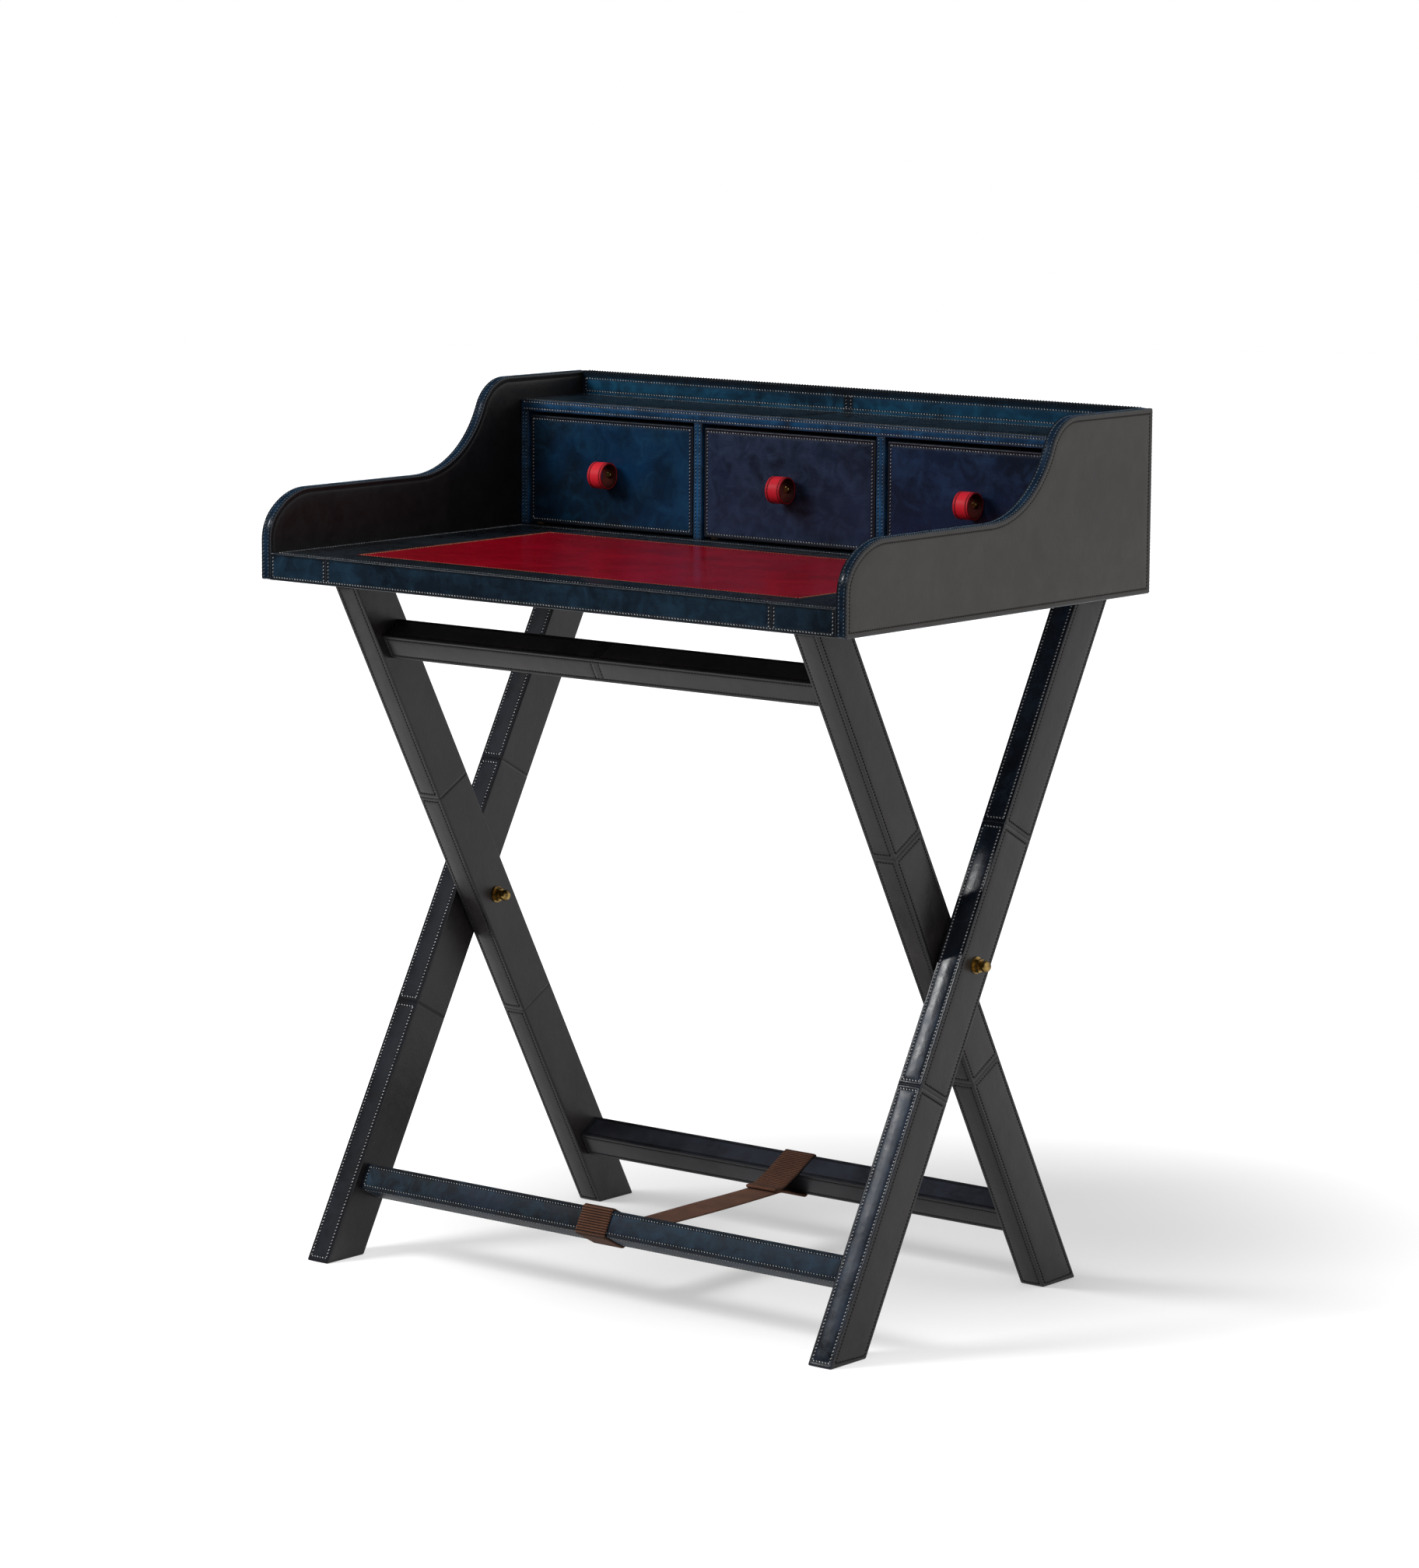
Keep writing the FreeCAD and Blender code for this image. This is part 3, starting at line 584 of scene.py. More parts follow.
def brown_webbing(name, rib, valley_shade, warp):
    """Ribbed cotton webbing, dull and a little dusty: rounded ribs across it with painted shade that darkens
    the valleys between them, and fine warp threads that run over them."""
    warp_pitch = 1.25 * MM
    material, tree, shader = new_material(name)
    across, along, ribbed = [
        node(tree, "Attribute", attribute_name=key).outputs["Fac"] for key in ("across", "along", "ribbed")]
    place = node(tree, "TexCoord").outputs["Object"]
    turns = node(tree, "Math", (along, math.pi / rib_pitch), operation="MULTIPLY")
    wave = node(tree, "Math", (turns,), operation="COSINE")
    height = node(tree, "Math", (wave,), operation="ABSOLUTE")
    # Painted shade: the valleys between the ribs are darkened towards near black
    valley_shade_mask = node(tree, "MapRange", (height, 0.4, 0.93, 1, 0))
    share = node(tree, "Math", (valley_shade_mask, ribbed), operation="MULTIPLY")
    threads = node(tree, "Math", (across, 2 * math.pi / warp_pitch), operation="MULTIPLY")
    thread = node(tree, "Math", (threads,), operation="SINE")
    between_threads = node(tree, "MapRange", (thread, -0.2, 1, 0, 0.5))
    colour = linear(rib)
    for share, over in ((share, valley_shade), (between_threads, warp)):
        colour = node(tree, "Mix", {0: share, 6: colour, 7: linear(over)}, data_type="RGBA")
    fibres = node(tree, "TexNoise", {
        "Vector": place, "Scale": 1 / (1.2 * MM), "Detail": 4, "Roughness": 0.75})
    dust = node(tree, "TexNoise", {"Vector": place, "Scale": 1 / (28 * MM), "Detail": 3})
    worn = node(tree, "MapRange", (dust, 0.3, 0.7, 0.75, 1.15))
    lint = node(tree, "MapRange", (fibres, 0.35, 0.7, 0.65, 1.3))
    shade = node(tree, "Math", (worn, lint), operation="MULTIPLY")
    colour = node(tree, "VectorMath", {0: colour, "Scale": shade}, operation="SCALE")
    weave = node(tree, "Math", (thread, fibres), operation="ADD")
    raised = node(tree, "Bump", {"Height": weave, "Strength": 0.6, "Distance": 0.15 * MM})
    node(tree, shader, {
        "Base Color": colour, "Normal": raised, "Roughness": 0.75, "Sheen Weight": 0.05,
        "Sheen Roughness": 0.5, "Specular IOR Level": 0.15})
    return material


def route_along(corners, step):
    """Even steps along straight runs in Y and Z with rounded corners, and their length. A corner is
    (y, z, radius)."""
    line = [Vector(corners[0][:2])]
    for before, here, after in zip(corners, corners[1:], corners[2:]):
        spot, radius = Vector(here[:2]), here[2]
        arrive = (spot - Vector(before[:2])).normalized()
        leave = (Vector(after[:2]) - spot).normalized()
        turn = math.atan2(arrive.cross(leave), arrive.dot(leave))
        side = Vector((-arrive.y, arrive.x)) * math.copysign(radius, turn)
        centre = spot - arrive * radius * math.tan(abs(turn) / 2) + side
        line += [centre - Matrix.Rotation(turn * k / 8, 2) @ side for k in range(9)]
    line.append(Vector(corners[-1][:2]))
    lengths = [0.0]
    for a, b in zip(line, line[1:]):
        lengths.append(lengths[-1] + (b - a).length)
    count = round(lengths[-1] / step)
    made, k = [], 0
    for i in range(count + 1):
        t = lengths[-1] * i / count
        while k < len(line) - 2 and lengths[k + 1] < t:
            k += 1
        made.append(line[k].lerp(line[k + 1], (t - lengths[k]) / max(lengths[k + 1] - lengths[k], 1e-9)))
    return made, lengths[-1]


def webbing_band(name, route, run, side, ribs_at, lift, material):
    """A band of webbing along a route in Y and Z, with its ribbed face to the left of the way that the route
    goes, or to its right where side is -1."""
    face_shares = (-1, -0.985, -0.94, -0.6, -0.2, 0.2, 0.6, 0.94, 0.985, 1)
    ring = [(share, 1) for share in face_shares] + [(share, -1) for share in face_shares[-2:0:-1]]
    thin = {1: 0.2, 0.985: 0.7}
    points, faces, across, along, ribbed = [], [], [], [], []
    for i, spot in enumerate(route):
        before, after = route[max(i - 1, 0)], route[min(i + 1, len(route) - 1)]
        forward = (after - before).normalized()
        out = Vector((-forward.y, forward.x)) * side
        part = i / (len(route) - 1)
        t = run * i / (len(route) - 1)
        ribs = ribs_at(part)
        rib = abs(math.cos(math.pi * t / rib_pitch)) ** 0.6 * ribs
        for share, face in ring:
            height = strap_thickness / 2 * thin.get(abs(share), 1) * face
            if face > 0:
                height += rib_rise * rib * thin.get(abs(share), 1)
            height += lift(share, part)
            here = spot + out * height
            x = share * (strap_width / 2 - edge_tooth * (1 - rib))
            points.append(Vector((x, here.x, here.y)))
            across.append(x)
            along.append(t)
            ribbed.append(ribs)
    count = len(ring)
    for i in range(len(route) - 1):
        for k in range(count):
            n = (k + 1) % count
            faces.append((i * count + k, i * count + n, (i + 1) * count + n, (i + 1) * count + k))
    last = (len(route) - 1) * count
    faces.append(tuple(range(count))[::-1])
    faces.append(tuple(range(last, last + count)))
    if side < 0:
        faces = [f[::-1] for f in faces]
    return mesh_piece(name, points, faces, [material], {"across": across, "along": along, "ribbed": ribbed})


# Dull red-brown ribs with painted shade, nearly black, in the valleys between them; the ribs catch the light
# in rows
ribbed_webbing = brown_webbing("ribbed_brown_webbing", rib="#684432", valley_shade="#0c0504", warp="#4a3227")
brown_thread = linen_thread("brown_linen_thread", pale="#4f382b", dark="#2b1b14")

for word, lean in (("front", -1), ("back", 1)):
    rail_low, rail_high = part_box("stretcher_" + word)
    rail = (rail_low + rail_high) / 2
    half_depth = stretcher_depth / 2 + 0.55 * strap_thickness
    half_height = stretcher_height / 2 + 0.55 * strap_thickness

    def by_rail(across, up):
        """A corner beside the rail, whose near side is towards the other rail."""
        y = rail.y + lean * across * math.cos(leg_angle) - lean * up * math.sin(leg_angle)
        return y, rail.z + across * math.sin(leg_angle) + up * math.cos(leg_angle)

    def from_pivot(y, z, radius):
        return pivot_y + lean * (y - pivot_y), z, radius

    flap_z = strap_level + 1.2 * strap_thickness
    top_z = flap_z + strap_thickness
    hem_end = join_y - hem_length
    corners = [
        from_pivot(join_y, flap_z, 0),
        from_pivot(hem_end, flap_z, hem_round),
        from_pivot(hem_end, top_z, hem_round),
        from_pivot(join_y + 4 * MM, top_z - 0.5 * MM, 24 * MM),
        by_rail(-half_depth, half_height) + (12 * MM,),
        by_rail(half_depth, half_height) + (strap_round,),
        by_rail(half_depth, -half_height) + (strap_round,),
        by_rail(-half_depth, -half_height) + (strap_round,),
        from_pivot(join_y + 9 * MM, strap_level - 1.2 * MM, 20 * MM),
        from_pivot(join_y, strap_level, 0),
    ]
    route, run = route_along(corners, rib_pitch / rib_steps)
    wrap = webbing_band("strap_wrap_" + word, route, run, lean,
                        lambda t: 1.0 if t < under_from else flat_rib_share,
                        lambda share, t: 0.0, ribbed_webbing)
    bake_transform(wrap)
    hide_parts("strap_loop_" + word)
    seam_y = from_pivot(join_y - hem_row_margin, 0, 0)[0]
    seam_z = top_z + strap_thickness / 2 + rib_rise
    seam_ends = [(Vector((x, seam_y, seam_z)), Vector((0, 0, 1))) for x in (-hem_row_half, hem_row_half)]
    stitches = sew("strap_hem_stitches_" + word, [seam_ends], brown_thread, slant=0, sunk=0.2 * MM)
    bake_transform(stitches)

front_join = Vector((0, 2 * pivot_y - join_y, strap_level))
run = join_y - front_join.y
count = round(run / rib_pitch * rib_steps)
route = []
for i in range(count + 1):
    t = i / count
    route.append(Vector((front_join.y + run * t, strap_level - span_sag * 4 * t * (1 - t))))


def curl_up(share, t):
    """The span's left edge curls up a little between its ends."""
    return span_curl * math.sin(math.pi * t) ** 2 * max(0.0, -share - 0.35) ** 2


span = webbing_band("strap_free_span", route, run, 1, lambda t: 0.3, curl_up, ribbed_webbing)
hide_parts("strap_span")
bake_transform(span)

# Pivots, pins and screws: turned brass, left unlacquered so that it has gone brown in its corners and is
# rubbed bright on its proud edges.
turned_brass, tree, shader = new_material("aged_turned_brass")
place = node(tree, "TexCoord").outputs["Object"]
tarnish = node(tree, "TexNoise", {"Vector": place, "Scale": 1 / (6 * MM), "Detail": 6, "Roughness": 0.7})
share = node(tree, "MapRange", (tarnish, 0.38, 0.62))
colour = node(tree, "Mix", {0: share, 6: linear("#4e3b1f"), 7: linear("#a88c52")}, data_type="RGBA")
dull = node(tree, "MapRange", (tarnish, 0.35, 0.65, 0.42, 0.22))
scratches = node(tree, "TexNoise", {
    "Vector": place, "Scale": 1 / (0.8 * MM), "Detail": 3, "Roughness": 0.7})
marked = node(tree, "Bump", {"Height": scratches, "Strength": 0.3, "Distance": 0.05 * MM})
node(tree, shader, {"Base Color": colour, "Roughness": dull, "Normal": marked, "Metallic": 1.0})

brass_nodes = ["pivot_bolts", "pivot_washers", "pivot_spacers", "pivot_bushes", "pivot_cap_nuts",
               "locating_pins"]
brass_nodes += ["pull_screw_" + word for word in ("left", "middle", "right")]
for name in brass_nodes:
    for held in frame["nodes"][name].material_slots:
        held.material = turned_brass

# Ash cores of the covered boards, the dowels, and the drawers' boxes: planed, sanded and waxed, so that the
# grain shows as brown lines on straw yellow with a low shine.
planed_ash, tree, shader = new_material("planed_ash")
place = node(tree, "TexCoord").outputs["Object"]
# Growth rings about 4 mm apart run along the boards, with pores a fifth of a millimetre wide
drawn = node(tree, "Mapping", {"Vector": place, "Scale": (0.12, 0.12, 1.0)})
rings = node(tree, "TexNoise", {
    "Vector": drawn, "Scale": 1 / (4 * MM), "Detail": 4, "Roughness": 0.55, "Distortion": 0.3})
pores = node(tree, "TexNoise", {"Vector": drawn, "Scale": 1 / (0.6 * MM), "Detail": 2, "Roughness": 0.6})
colour = linear("#8a6540")
for share, over in ((node(tree, "MapRange", (rings, 0.35, 0.65)), "#b48d62"),
                    (node(tree, "MapRange", (pores, 0.58, 0.72, 0, 0.5)), "#5b3f26")):
    colour = node(tree, "Mix", {0: share, 6: colour, 7: linear(over)}, data_type="RGBA")
open_pores = node(tree, "Bump", {"Height": pores, "Strength": 0.4, "Distance": 0.1 * MM})
node(tree, shader, {"Base Color": colour, "Normal": open_pores, "Roughness": 0.52})
for entry in frame["record"]["subparts"]:
    if entry.get("material_slot") == "wood" or entry.get("material") == "wood":
        for held in frame["nodes"][entry["node"]].material_slots:
            held.material = planed_ash

# Desktop: a board in midnight-blue leather whose front edge shows between the side panels. The front
# hide is in three pieces, butted in line with the ends of the red inlay and sewn each side of the butt.
desk_seam_x = 293.5 * MM
joint_row = 3.2 * MM
apron_row_low = 3.4 * MM
apron_row_side = 3.6 * MM
apron_row_top = 2.2 * MM
top_row_margin = 6.5 * MM
crease_margin = 3.6 * MM
inlay_well = 1.1 * MM
board_end_round = 0.6 * MM
inlay_low, inlay_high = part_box("writing_inlay")
case_front_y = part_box("shelf")[0].y

# The apron: midnight blue that light brings out, rubbed grey along its edges, black outside its stitches
midnight = waxed_leather(
    "midnight_blue_saddle_leather", dye="#12202d", deep="#0d151e", worn="#1c3f55", rim="#0b0d11",
    roughness=0.3, streak=(0.25, 1, 1.6), rim_width=3 * MM, rim_share=0.75, edge_share=0.5,
    edge="#4a4e54", specular=0.4)
# The top's margin and the underside: nearly black, glossier, with a trace of blue where it is worn
midnight_dark = waxed_leather(
    "blue_black_desk_leather", dye="#10161d", deep="#0c0f13", worn="#27343e", rim="#090a0d",
    roughness=0.27, streak=(0.3, 1, 1), rim_width=1.5 * MM, edge_share=0.35, edge="#4a4e54", specular=0.35)

low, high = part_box("desktop")
front, top, under = (1, -1), (2, 1), (2, -1)
rows = [row(front, 0, low[2] + apron_row_low, low[0] + apron_row_side, high[0] - apron_row_side)]
for side in (-1, 1):
    for at in (high[0] - apron_row_side, desk_seam_x - joint_row, desk_seam_x + joint_row):
        rows.append(row(front, 2, side * at, low[2] + apron_row_low, high[2] - apron_row_top))
    rows.append(row(front, 2, side * desk_seam_x, low[2], high[2], thread=False))
rows += panel(top, low, (high[0], case_front_y, high[2]), top_row_margin)
# The top's margin is creased behind its front edge, and butted in line with the inlay's ends
rows.append(row(top, 0, low[1] + crease_margin, low[0], high[0], thread=False))
for side in (-1, 1):
    rows.append(row(top, 1, side * desk_seam_x, low[1], inlay_low.y, thread=False))
    rows.append(row(top, 1, side * desk_seam_x, inlay_high.y, case_front_y, thread=False))
rows += panel(under, low, high, top_row_margin)
wells = [(top, (inlay_low.x, inlay_low.y, 0), (inlay_high.x, inlay_high.y, 0), inlay_well)]
cover("desktop", "desktop_cover", [midnight, midnight_dark], rows, "tray", "leather_tray",
      "desktop_stitches", linen_pale, rounding=(board_end_round, hide_round, hide_round), wells=wells,
      finish={top: 1, under: 1})

# Writing inlay: one piece of deep red hide let into the desktop, flush with it, polished by use and sewn
# down all round.
inlay_row_margin = 4.0 * MM
inlay_round = 0.5 * MM

# Deep even red with a low, smooth shine and a darker sunken margin
polished_red = waxed_leather(
    "polished_red_hide", dye="#840217", deep="#70020f", worn="#90081c", rim="#4c000c", roughness=0.18,
    streak=(0.3, 1, 1), wear=0.3, rim_share=0.5, rim_width=2.5 * MM, edge="#3a0008", speck_share=0,
    specular=0.1)
# Straw-coloured thread: a fine dotted line round the red
straw_thread = linen_thread("straw_linen_thread", pale="#b0946a", dark="#6a5638")

rows = panel(top, inlay_low, inlay_high, inlay_row_margin)
cover("writing_inlay", "writing_inlay_hide", [polished_red], rows, "tray", "leather_inlay",
      "writing_inlay_stitches", straw_thread, rounding=(inlay_round,) * 3)

# Side panels: boards sawn to a low arm with a rounded nose that sweeps up to the height of the back. A
# strip of leather runs round the edge, sewn near both its sides, and a flat hide covers each face.
arm_height = 64.5 * MM
nose_run = 64 * MM
nose_drop = 52 * MM
nose_turn = math.radians(45)
sweep_start = 235 * MM
sweep_radius = 112 * MM
crest_radius = 47 * MM
panel_corner = 2.6 * MM
strip_row_margin = 3.4 * MM
face_row_margin = 5.6 * MM
face_flat = (17 * MM, 22 * MM)
writing_z = inlay_high.z
panel_low, panel_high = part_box("side_panel_right")
front_y, rear_y = panel_low.y, panel_high.y
under_z, crest_z = panel_low.z, panel_high.z
arm_z = writing_z + arm_height

# Two arcs share a tangent at the nose's turn and fill its run and drop
run_a, drop_a = 1 - math.cos(nose_turn), math.sin(nose_turn)
run_b, drop_b = math.cos(nose_turn), 1 - math.sin(nose_turn)
spread = run_a * drop_b - drop_a * run_b
nose_radius_low = (nose_run * drop_b - nose_drop * run_b) / spread
nose_radius_high = (run_a * nose_drop - drop_a * nose_run) / spread
sweep_turn = math.acos(1 - (crest_z - arm_z) / (sweep_radius + crest_radius))
sweep_y = front_y + sweep_start
crest_y = sweep_y + (sweep_radius + crest_radius) * math.sin(sweep_turn)


def side_outline(inset):
    """The panel's edge in Y and Z from its low front corner up, over and back, drawn in by the inset."""
    half, quarter = math.pi, math.pi / 2
    corner = max(panel_corner - inset, 0.05 * MM)
    arcs = [
        (front_y + inset + corner, under_z + inset + corner, corner, half + quarter, half, 5),
        (front_y + nose_radius_low, arm_z - nose_drop, nose_radius_low - inset, half, half - nose_turn, 12),
        (front_y + nose_run, arm_z - nose_radius_high, nose_radius_high - inset,
         half - nose_turn, quarter, 12),
        (sweep_y, arm_z + sweep_radius, sweep_radius + inset, -quarter, -quarter + sweep_turn, 26),
        (crest_y, crest_z - crest_radius, crest_radius - inset, quarter + sweep_turn, quarter, 18),
        (rear_y - inset - corner, crest_z - inset - corner, corner, quarter, 0, 5),
        (rear_y - inset - corner, under_z + inset + corner, corner, 0, -quarter, 5),
    ]
    made = []
    for y, z, radius, start, stop, steps in arcs:
        for k in range(steps + 1):
            turn = start + (stop - start) * k / steps
            spot = (y + radius * math.cos(turn), z + radius * math.sin(turn))
            if not made or math.hypot(spot[0] - made[-1][0], spot[1] - made[-1][1]) > 1e-7:
                made.append(spot)
    return made


def groove_steps(at, pressed=groove_depth, least=hide_round):
    """(distance, depth, darkening by dirt and painted shade) across one stitched row, no nearer to the edge
    than the least distance.
    """
    steps = []
    for off, share in [(-off, share) for off, share in draw_shares[:0:-1]] + list(draw_shares):
        if at + off > least:
            steps.append((at + off, pressed * share, max(0.0, 1 - abs(off) / darkening_reach)))
    return steps


def ring_piece(name, outline, section, place, materials, attributes, indices, caps=False):
    """A section of (inset, x) pairs carried round a closed outline. Without caps the section closes on
    itself; with them it ends in a flat face at its first and last pair."""
    rings = [outline(inset) for inset, _ in section]
    count = len(rings[0])
    points, faces, picked = [], [], []
    for (_, x), ring in zip(section, rings):
        points += [place((x, y, z)) for y, z in ring]
    spans = len(section) - 1 if caps else len(section)
    for k in range(spans):
        n = (k + 1) % len(section)
        for i in range(count):
            j = (i + 1) % count
            faces.append((k * count + i, n * count + i, n * count + j, k * count + j))
            picked.append(indices[k])
    if caps:
        faces.append(tuple(range(count)))
        faces.append(tuple(range((len(section) - 1) * count, len(section) * count))[::-1])
        picked += [indices[0], indices[-1]]
    values = {key: [v for v in per_ring for _ in range(count)] for key, per_ring in attributes.items()}
    return mesh_piece(name, points, faces, materials, values, picked)


# The edge strip: blue, burnished with wax to the hardest gloss of the desk
edge_strip = waxed_leather(
    "polished_edge_strip_leather", dye="#122234", deep="#0c141e", worn="#1f4462", rim="#090a0c",
    roughness=0.24, gloss=0.15, streak=(1, 0.4, 1), rim_width=2.2 * MM, edge_share=0.4, specular=0.35)
# The outside: warm grey-brown, matt and cloudy, darker at its edge
side_grey = waxed_leather(
    "grey_brown_saddle_leather", dye="#383431", deep="#2e2b29", worn="#47423e", rim="#1d1b1c",
    roughness=0.5, streak=(1, 0.5, 1), wear=0.3, rim_share=0.3, edge="#1a191b", speck_share=0.1,
    dirt_and_shade_share=0.35)
# Waxed blue thread that glints along the strip
strip_thread = linen_thread("blue_waxed_thread", pale="#6d8aa4", dark="#22364a", roughness=0.3, specular=0.7)
# The inside: the outside's leather drawn almost black as painted shade for the faces inside the tray, so that
# the red of the desk shows faintly in it
side_inner_painted_shade = waxed_leather(
    "inner_face_painted_shade_leather", dye="#0b0908", deep="#070606", worn="#170e0f", rim="#070708",
    roughness=0.36, streak=(1, 0.5, 1), wear=0.3, edge="#2a2b30")

for word, outward in (("left", -1), ("right", 1)):
    low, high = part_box("side_panel_" + word)
    outer_x, inner_x = (low.x, high.x) if outward < 0 else (high.x, low.x)
    thickness = high.x - low.x

    # From the middle of the outer face, over the rounded edge, across the strip, to the inner face
    section, rim, seam, picked = [], [], [], []

    def add(inset, depth_from_outer, rim_value, seam_value, which):
        section.append((inset, outer_x - outward * depth_from_outer))
        rim.append(rim_value)
        seam.append(seam_value)
        picked.append(which)

    for inset in face_flat[::-1]:
        add(inset, 0, rim_reach, 0, 1)
    for distance, depth, share in groove_steps(face_row_margin)[::-1]:
        add(distance, depth, distance, share, 1)
    for k in range(5):
        turn = math.radians(90 * k / 4)
        add(hide_round * (1 - math.sin(turn)), hide_round * (1 - math.cos(turn)), 0.3 * MM * k, 0, 0)
    strip_steps = [step for step in groove_steps(strip_row_margin) if step[0] < thickness / 2 - 0.1 * MM]
    for distance, depth, share in strip_steps:
        add(depth, distance, distance, share, 0)
    for distance, depth, share in strip_steps[::-1]:
        add(depth, thickness - distance, distance, share, 0)
    for k in range(5):
        turn = math.radians(90 * k / 4)
        add(hide_round * (1 - math.cos(turn)), thickness - hide_round * (1 - math.sin(turn)),
            0.3 * MM * (4 - k), 0, 0 if k < 4 else 2)
    for distance, depth, share in groove_steps(face_row_margin):
        add(distance, thickness - depth, distance, share, 2)
    for inset in face_flat:
        add(inset, thickness, rim_reach, 0, 2)

    turned_outline = side_outline if outward > 0 else (lambda inset: side_outline(inset)[::-1])
    side = ring_piece("side_panel_cover_" + word, turned_outline, section, Vector,
                      [edge_strip, side_grey, side_inner_painted_shade], {"rim": rim, "seam": seam}, picked, caps=True)
    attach(side, "tray")
    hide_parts("side_panel_" + word)

    strip_lines, outer_lines, inner_lines, whip_lines = [], [], [], []
    edge = side_outline(0)
    directions = []
    for i, (y, z) in enumerate(edge):
        before, after = edge[i - 1], edge[(i + 1) % len(edge)]
        tangent = Vector((0, after[0] - before[0], after[1] - before[1])).normalized()
        directions.append(Vector((0, -tangent.z, tangent.y)))
    for depth in (strip_row_margin, thickness - strip_row_margin):
        x = outer_x - outward * depth
        strip_lines.append([(Vector((x, y, z)), d) for (y, z), d in zip(edge, directions)])
    for lines, x, facing in ((outer_lines, outer_x, outward), (inner_lines, inner_x, -outward)):
        ring = side_outline(face_row_margin)
        line = [(Vector((x, y, z)), Vector((facing, 0, 0))) for y, z in ring]
        lines.append(line + line[:1])
    for x, facing in ((outer_x, outward), (inner_x, -outward)):
        corner = hide_round * (1 - math.sqrt(0.5))
        line = []
        for (y, z), d in zip(side_outline(corner), directions):
            line.append((Vector((x - facing * corner, y, z)), (d + Vector((facing, 0, 0))).normalized()))
        whip_lines.append(line)
    for label, lines, thread, extra in (
            ("strip", strip_lines, strip_thread, {}),
            ("outer", outer_lines, linen_dark, {"length": 2.4 * MM, "radius": 0.5 * MM}),
            ("inner", inner_lines, linen_dark, {}),
            ("whip", whip_lines, linen_dark, {"across": True, "length": 2.2 * MM, "radius": 0.45 * MM,
                                            "sunk": 0.2 * MM})):
        sew_on("side_panel_stitches_" + label + "_" + word, lines, thread, "tray", "leather_tray", **extra)

# Back panel: a board as high as the side panels' crest, in two hides joined at the middle. It stands
# between the side panels and closes the drawer case.
back_top_row = 8 * MM
back_low_row = 3.2 * MM
back_end_row = 5 * MM

# The front of the back: teal blue streaked along the board, which looks wet where it is deepest
teal_back = waxed_leather(
    "teal_blue_saddle_leather", dye="#113248", deep="#0d1e2c", worn="#1c5470", rim="#101216",
    roughness=0.32, streak=(0.12, 1, 2.5), wear=0.65, rim_share=0.85, rim_width=6.5 * MM, specular=0.12)

low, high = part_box("back_panel")
shelf_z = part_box("shelf")[1].z
rear = (1, 1)
rows = []
for at in (high[2] - back_top_row, shelf_z + back_low_row):
    rows.append(row(front, 0, at, low[0] + back_end_row, high[0] - back_end_row))
for at in (low[0] + back_end_row, -joint_row, joint_row, high[0] - back_end_row):
    rows.append(row(front, 2, at, shelf_z + back_low_row, high[2] - back_top_row))
rows.append(row(front, 2, 0, shelf_z - 5 * MM, high[2], thread=False))
for x0, x1 in ((low[0], 0), (0, high[0])):
    rows += panel(rear, (x0, 0, low[2]), (x1, 0, high[2]), leg_row_margin)
rows.append(row(rear, 2, 0, low[2], high[2], thread=False))
cover("back_panel", "back_panel_cover", [teal_back, midnight], rows, "tray", "leather_tray",
      "back_panel_stitches", linen_pale, rounding=(board_end_round, hide_round, hide_round),
      finish={rear: 1})
corner = hide_round * (1 - math.sqrt(0.5))
whip_lines = []
for y, facing in ((low[1], -1), (high[1], 1)):
    out = Vector((0, facing, 1)).normalized()
    ends = (Vector((low[0], y - facing * corner, high[2] - corner)),
            Vector((high[0], y - facing * corner, high[2] - corner)))
    whip_lines.append([(end, out) for end in ends])
sew_on("back_panel_whip_stitches", whip_lines, linen_dark, "tray", "leather_tray", across=True,
       length=3.2 * MM, radius=0.7 * MM, sunk=0)

# Drawer case: a shelf on two end boards and two dividers, all covered, standing on the desktop in front
# of the back panel. The shelf's hide is joined at the middle.
case_row_margin = 2.9 * MM
shelf_top_row = 4.2 * MM
upright_row_end = 1.5 * MM
upright_round = (1.2 * MM, 1.2 * MM, 0.4 * MM)

# The case's edges: the brightest blue of the desk, with long worn streaks
bright_blue = waxed_leather(
    "bright_blue_saddle_leather", dye="#113a5c", deep="#0d2840", worn="#1f6194", rim="#0c1014",
    roughness=0.32, streak=(0.15, 1, 1.5), wear=0.55, rim_width=1.2 * MM, specular=0.35)
# The shelf's top: slate blue, nearly black, with pale rubbed edges
shelf_blue = waxed_leather(
    "slate_blue_shelf_leather", dye="#111b25", deep="#0c1218", worn="#1f3745", rim="#0c0e12",
    roughness=0.28, streak=(0.2, 1, 1), rim_width=1.5 * MM, edge_share=0.5, edge="#50555c", specular=0.15)
# Blue-grey thread that only just shows on the blue
blue_thread = linen_thread("blue_grey_thread", pale="#86a8bc", dark="#22394a")

low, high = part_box("shelf")
rows = []
for at in (low[2] + case_row_margin, high[2] - case_row_margin):
    rows.append(row(front, 0, at, low[0] + case_row_margin, high[0] - case_row_margin))
rows.append(row(front, 2, 0, low[2], high[2], thread=False))
for at in (low[1] + shelf_top_row, high[1] - shelf_top_row):
    rows.append(row(top, 0, at, low[0] + shelf_top_row, high[0] - shelf_top_row))
rows.append(row(top, 1, 0, low[1], high[1], thread=False))
cover("shelf", "shelf_cover", [bright_blue, shelf_blue], rows, "tray", "leather_tray",
      "shelf_stitches", linen_pale, rounding=(board_end_round, hide_round, hide_round), finish={top: 1})

for name in ("case_end_left", "divider_left", "divider_right", "case_end_right"):
    low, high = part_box(name)
    rows = []
    for at in (low[0] + case_row_margin, high[0] - case_row_margin):
        rows.append(row(front, 2, at, low[2] + upright_row_end, high[2] - upright_row_end))
    cover(name, name + "_cover", [bright_blue], rows, "tray", "leather_tray",
          name + "_stitches", blue_thread, rounding=upright_round)

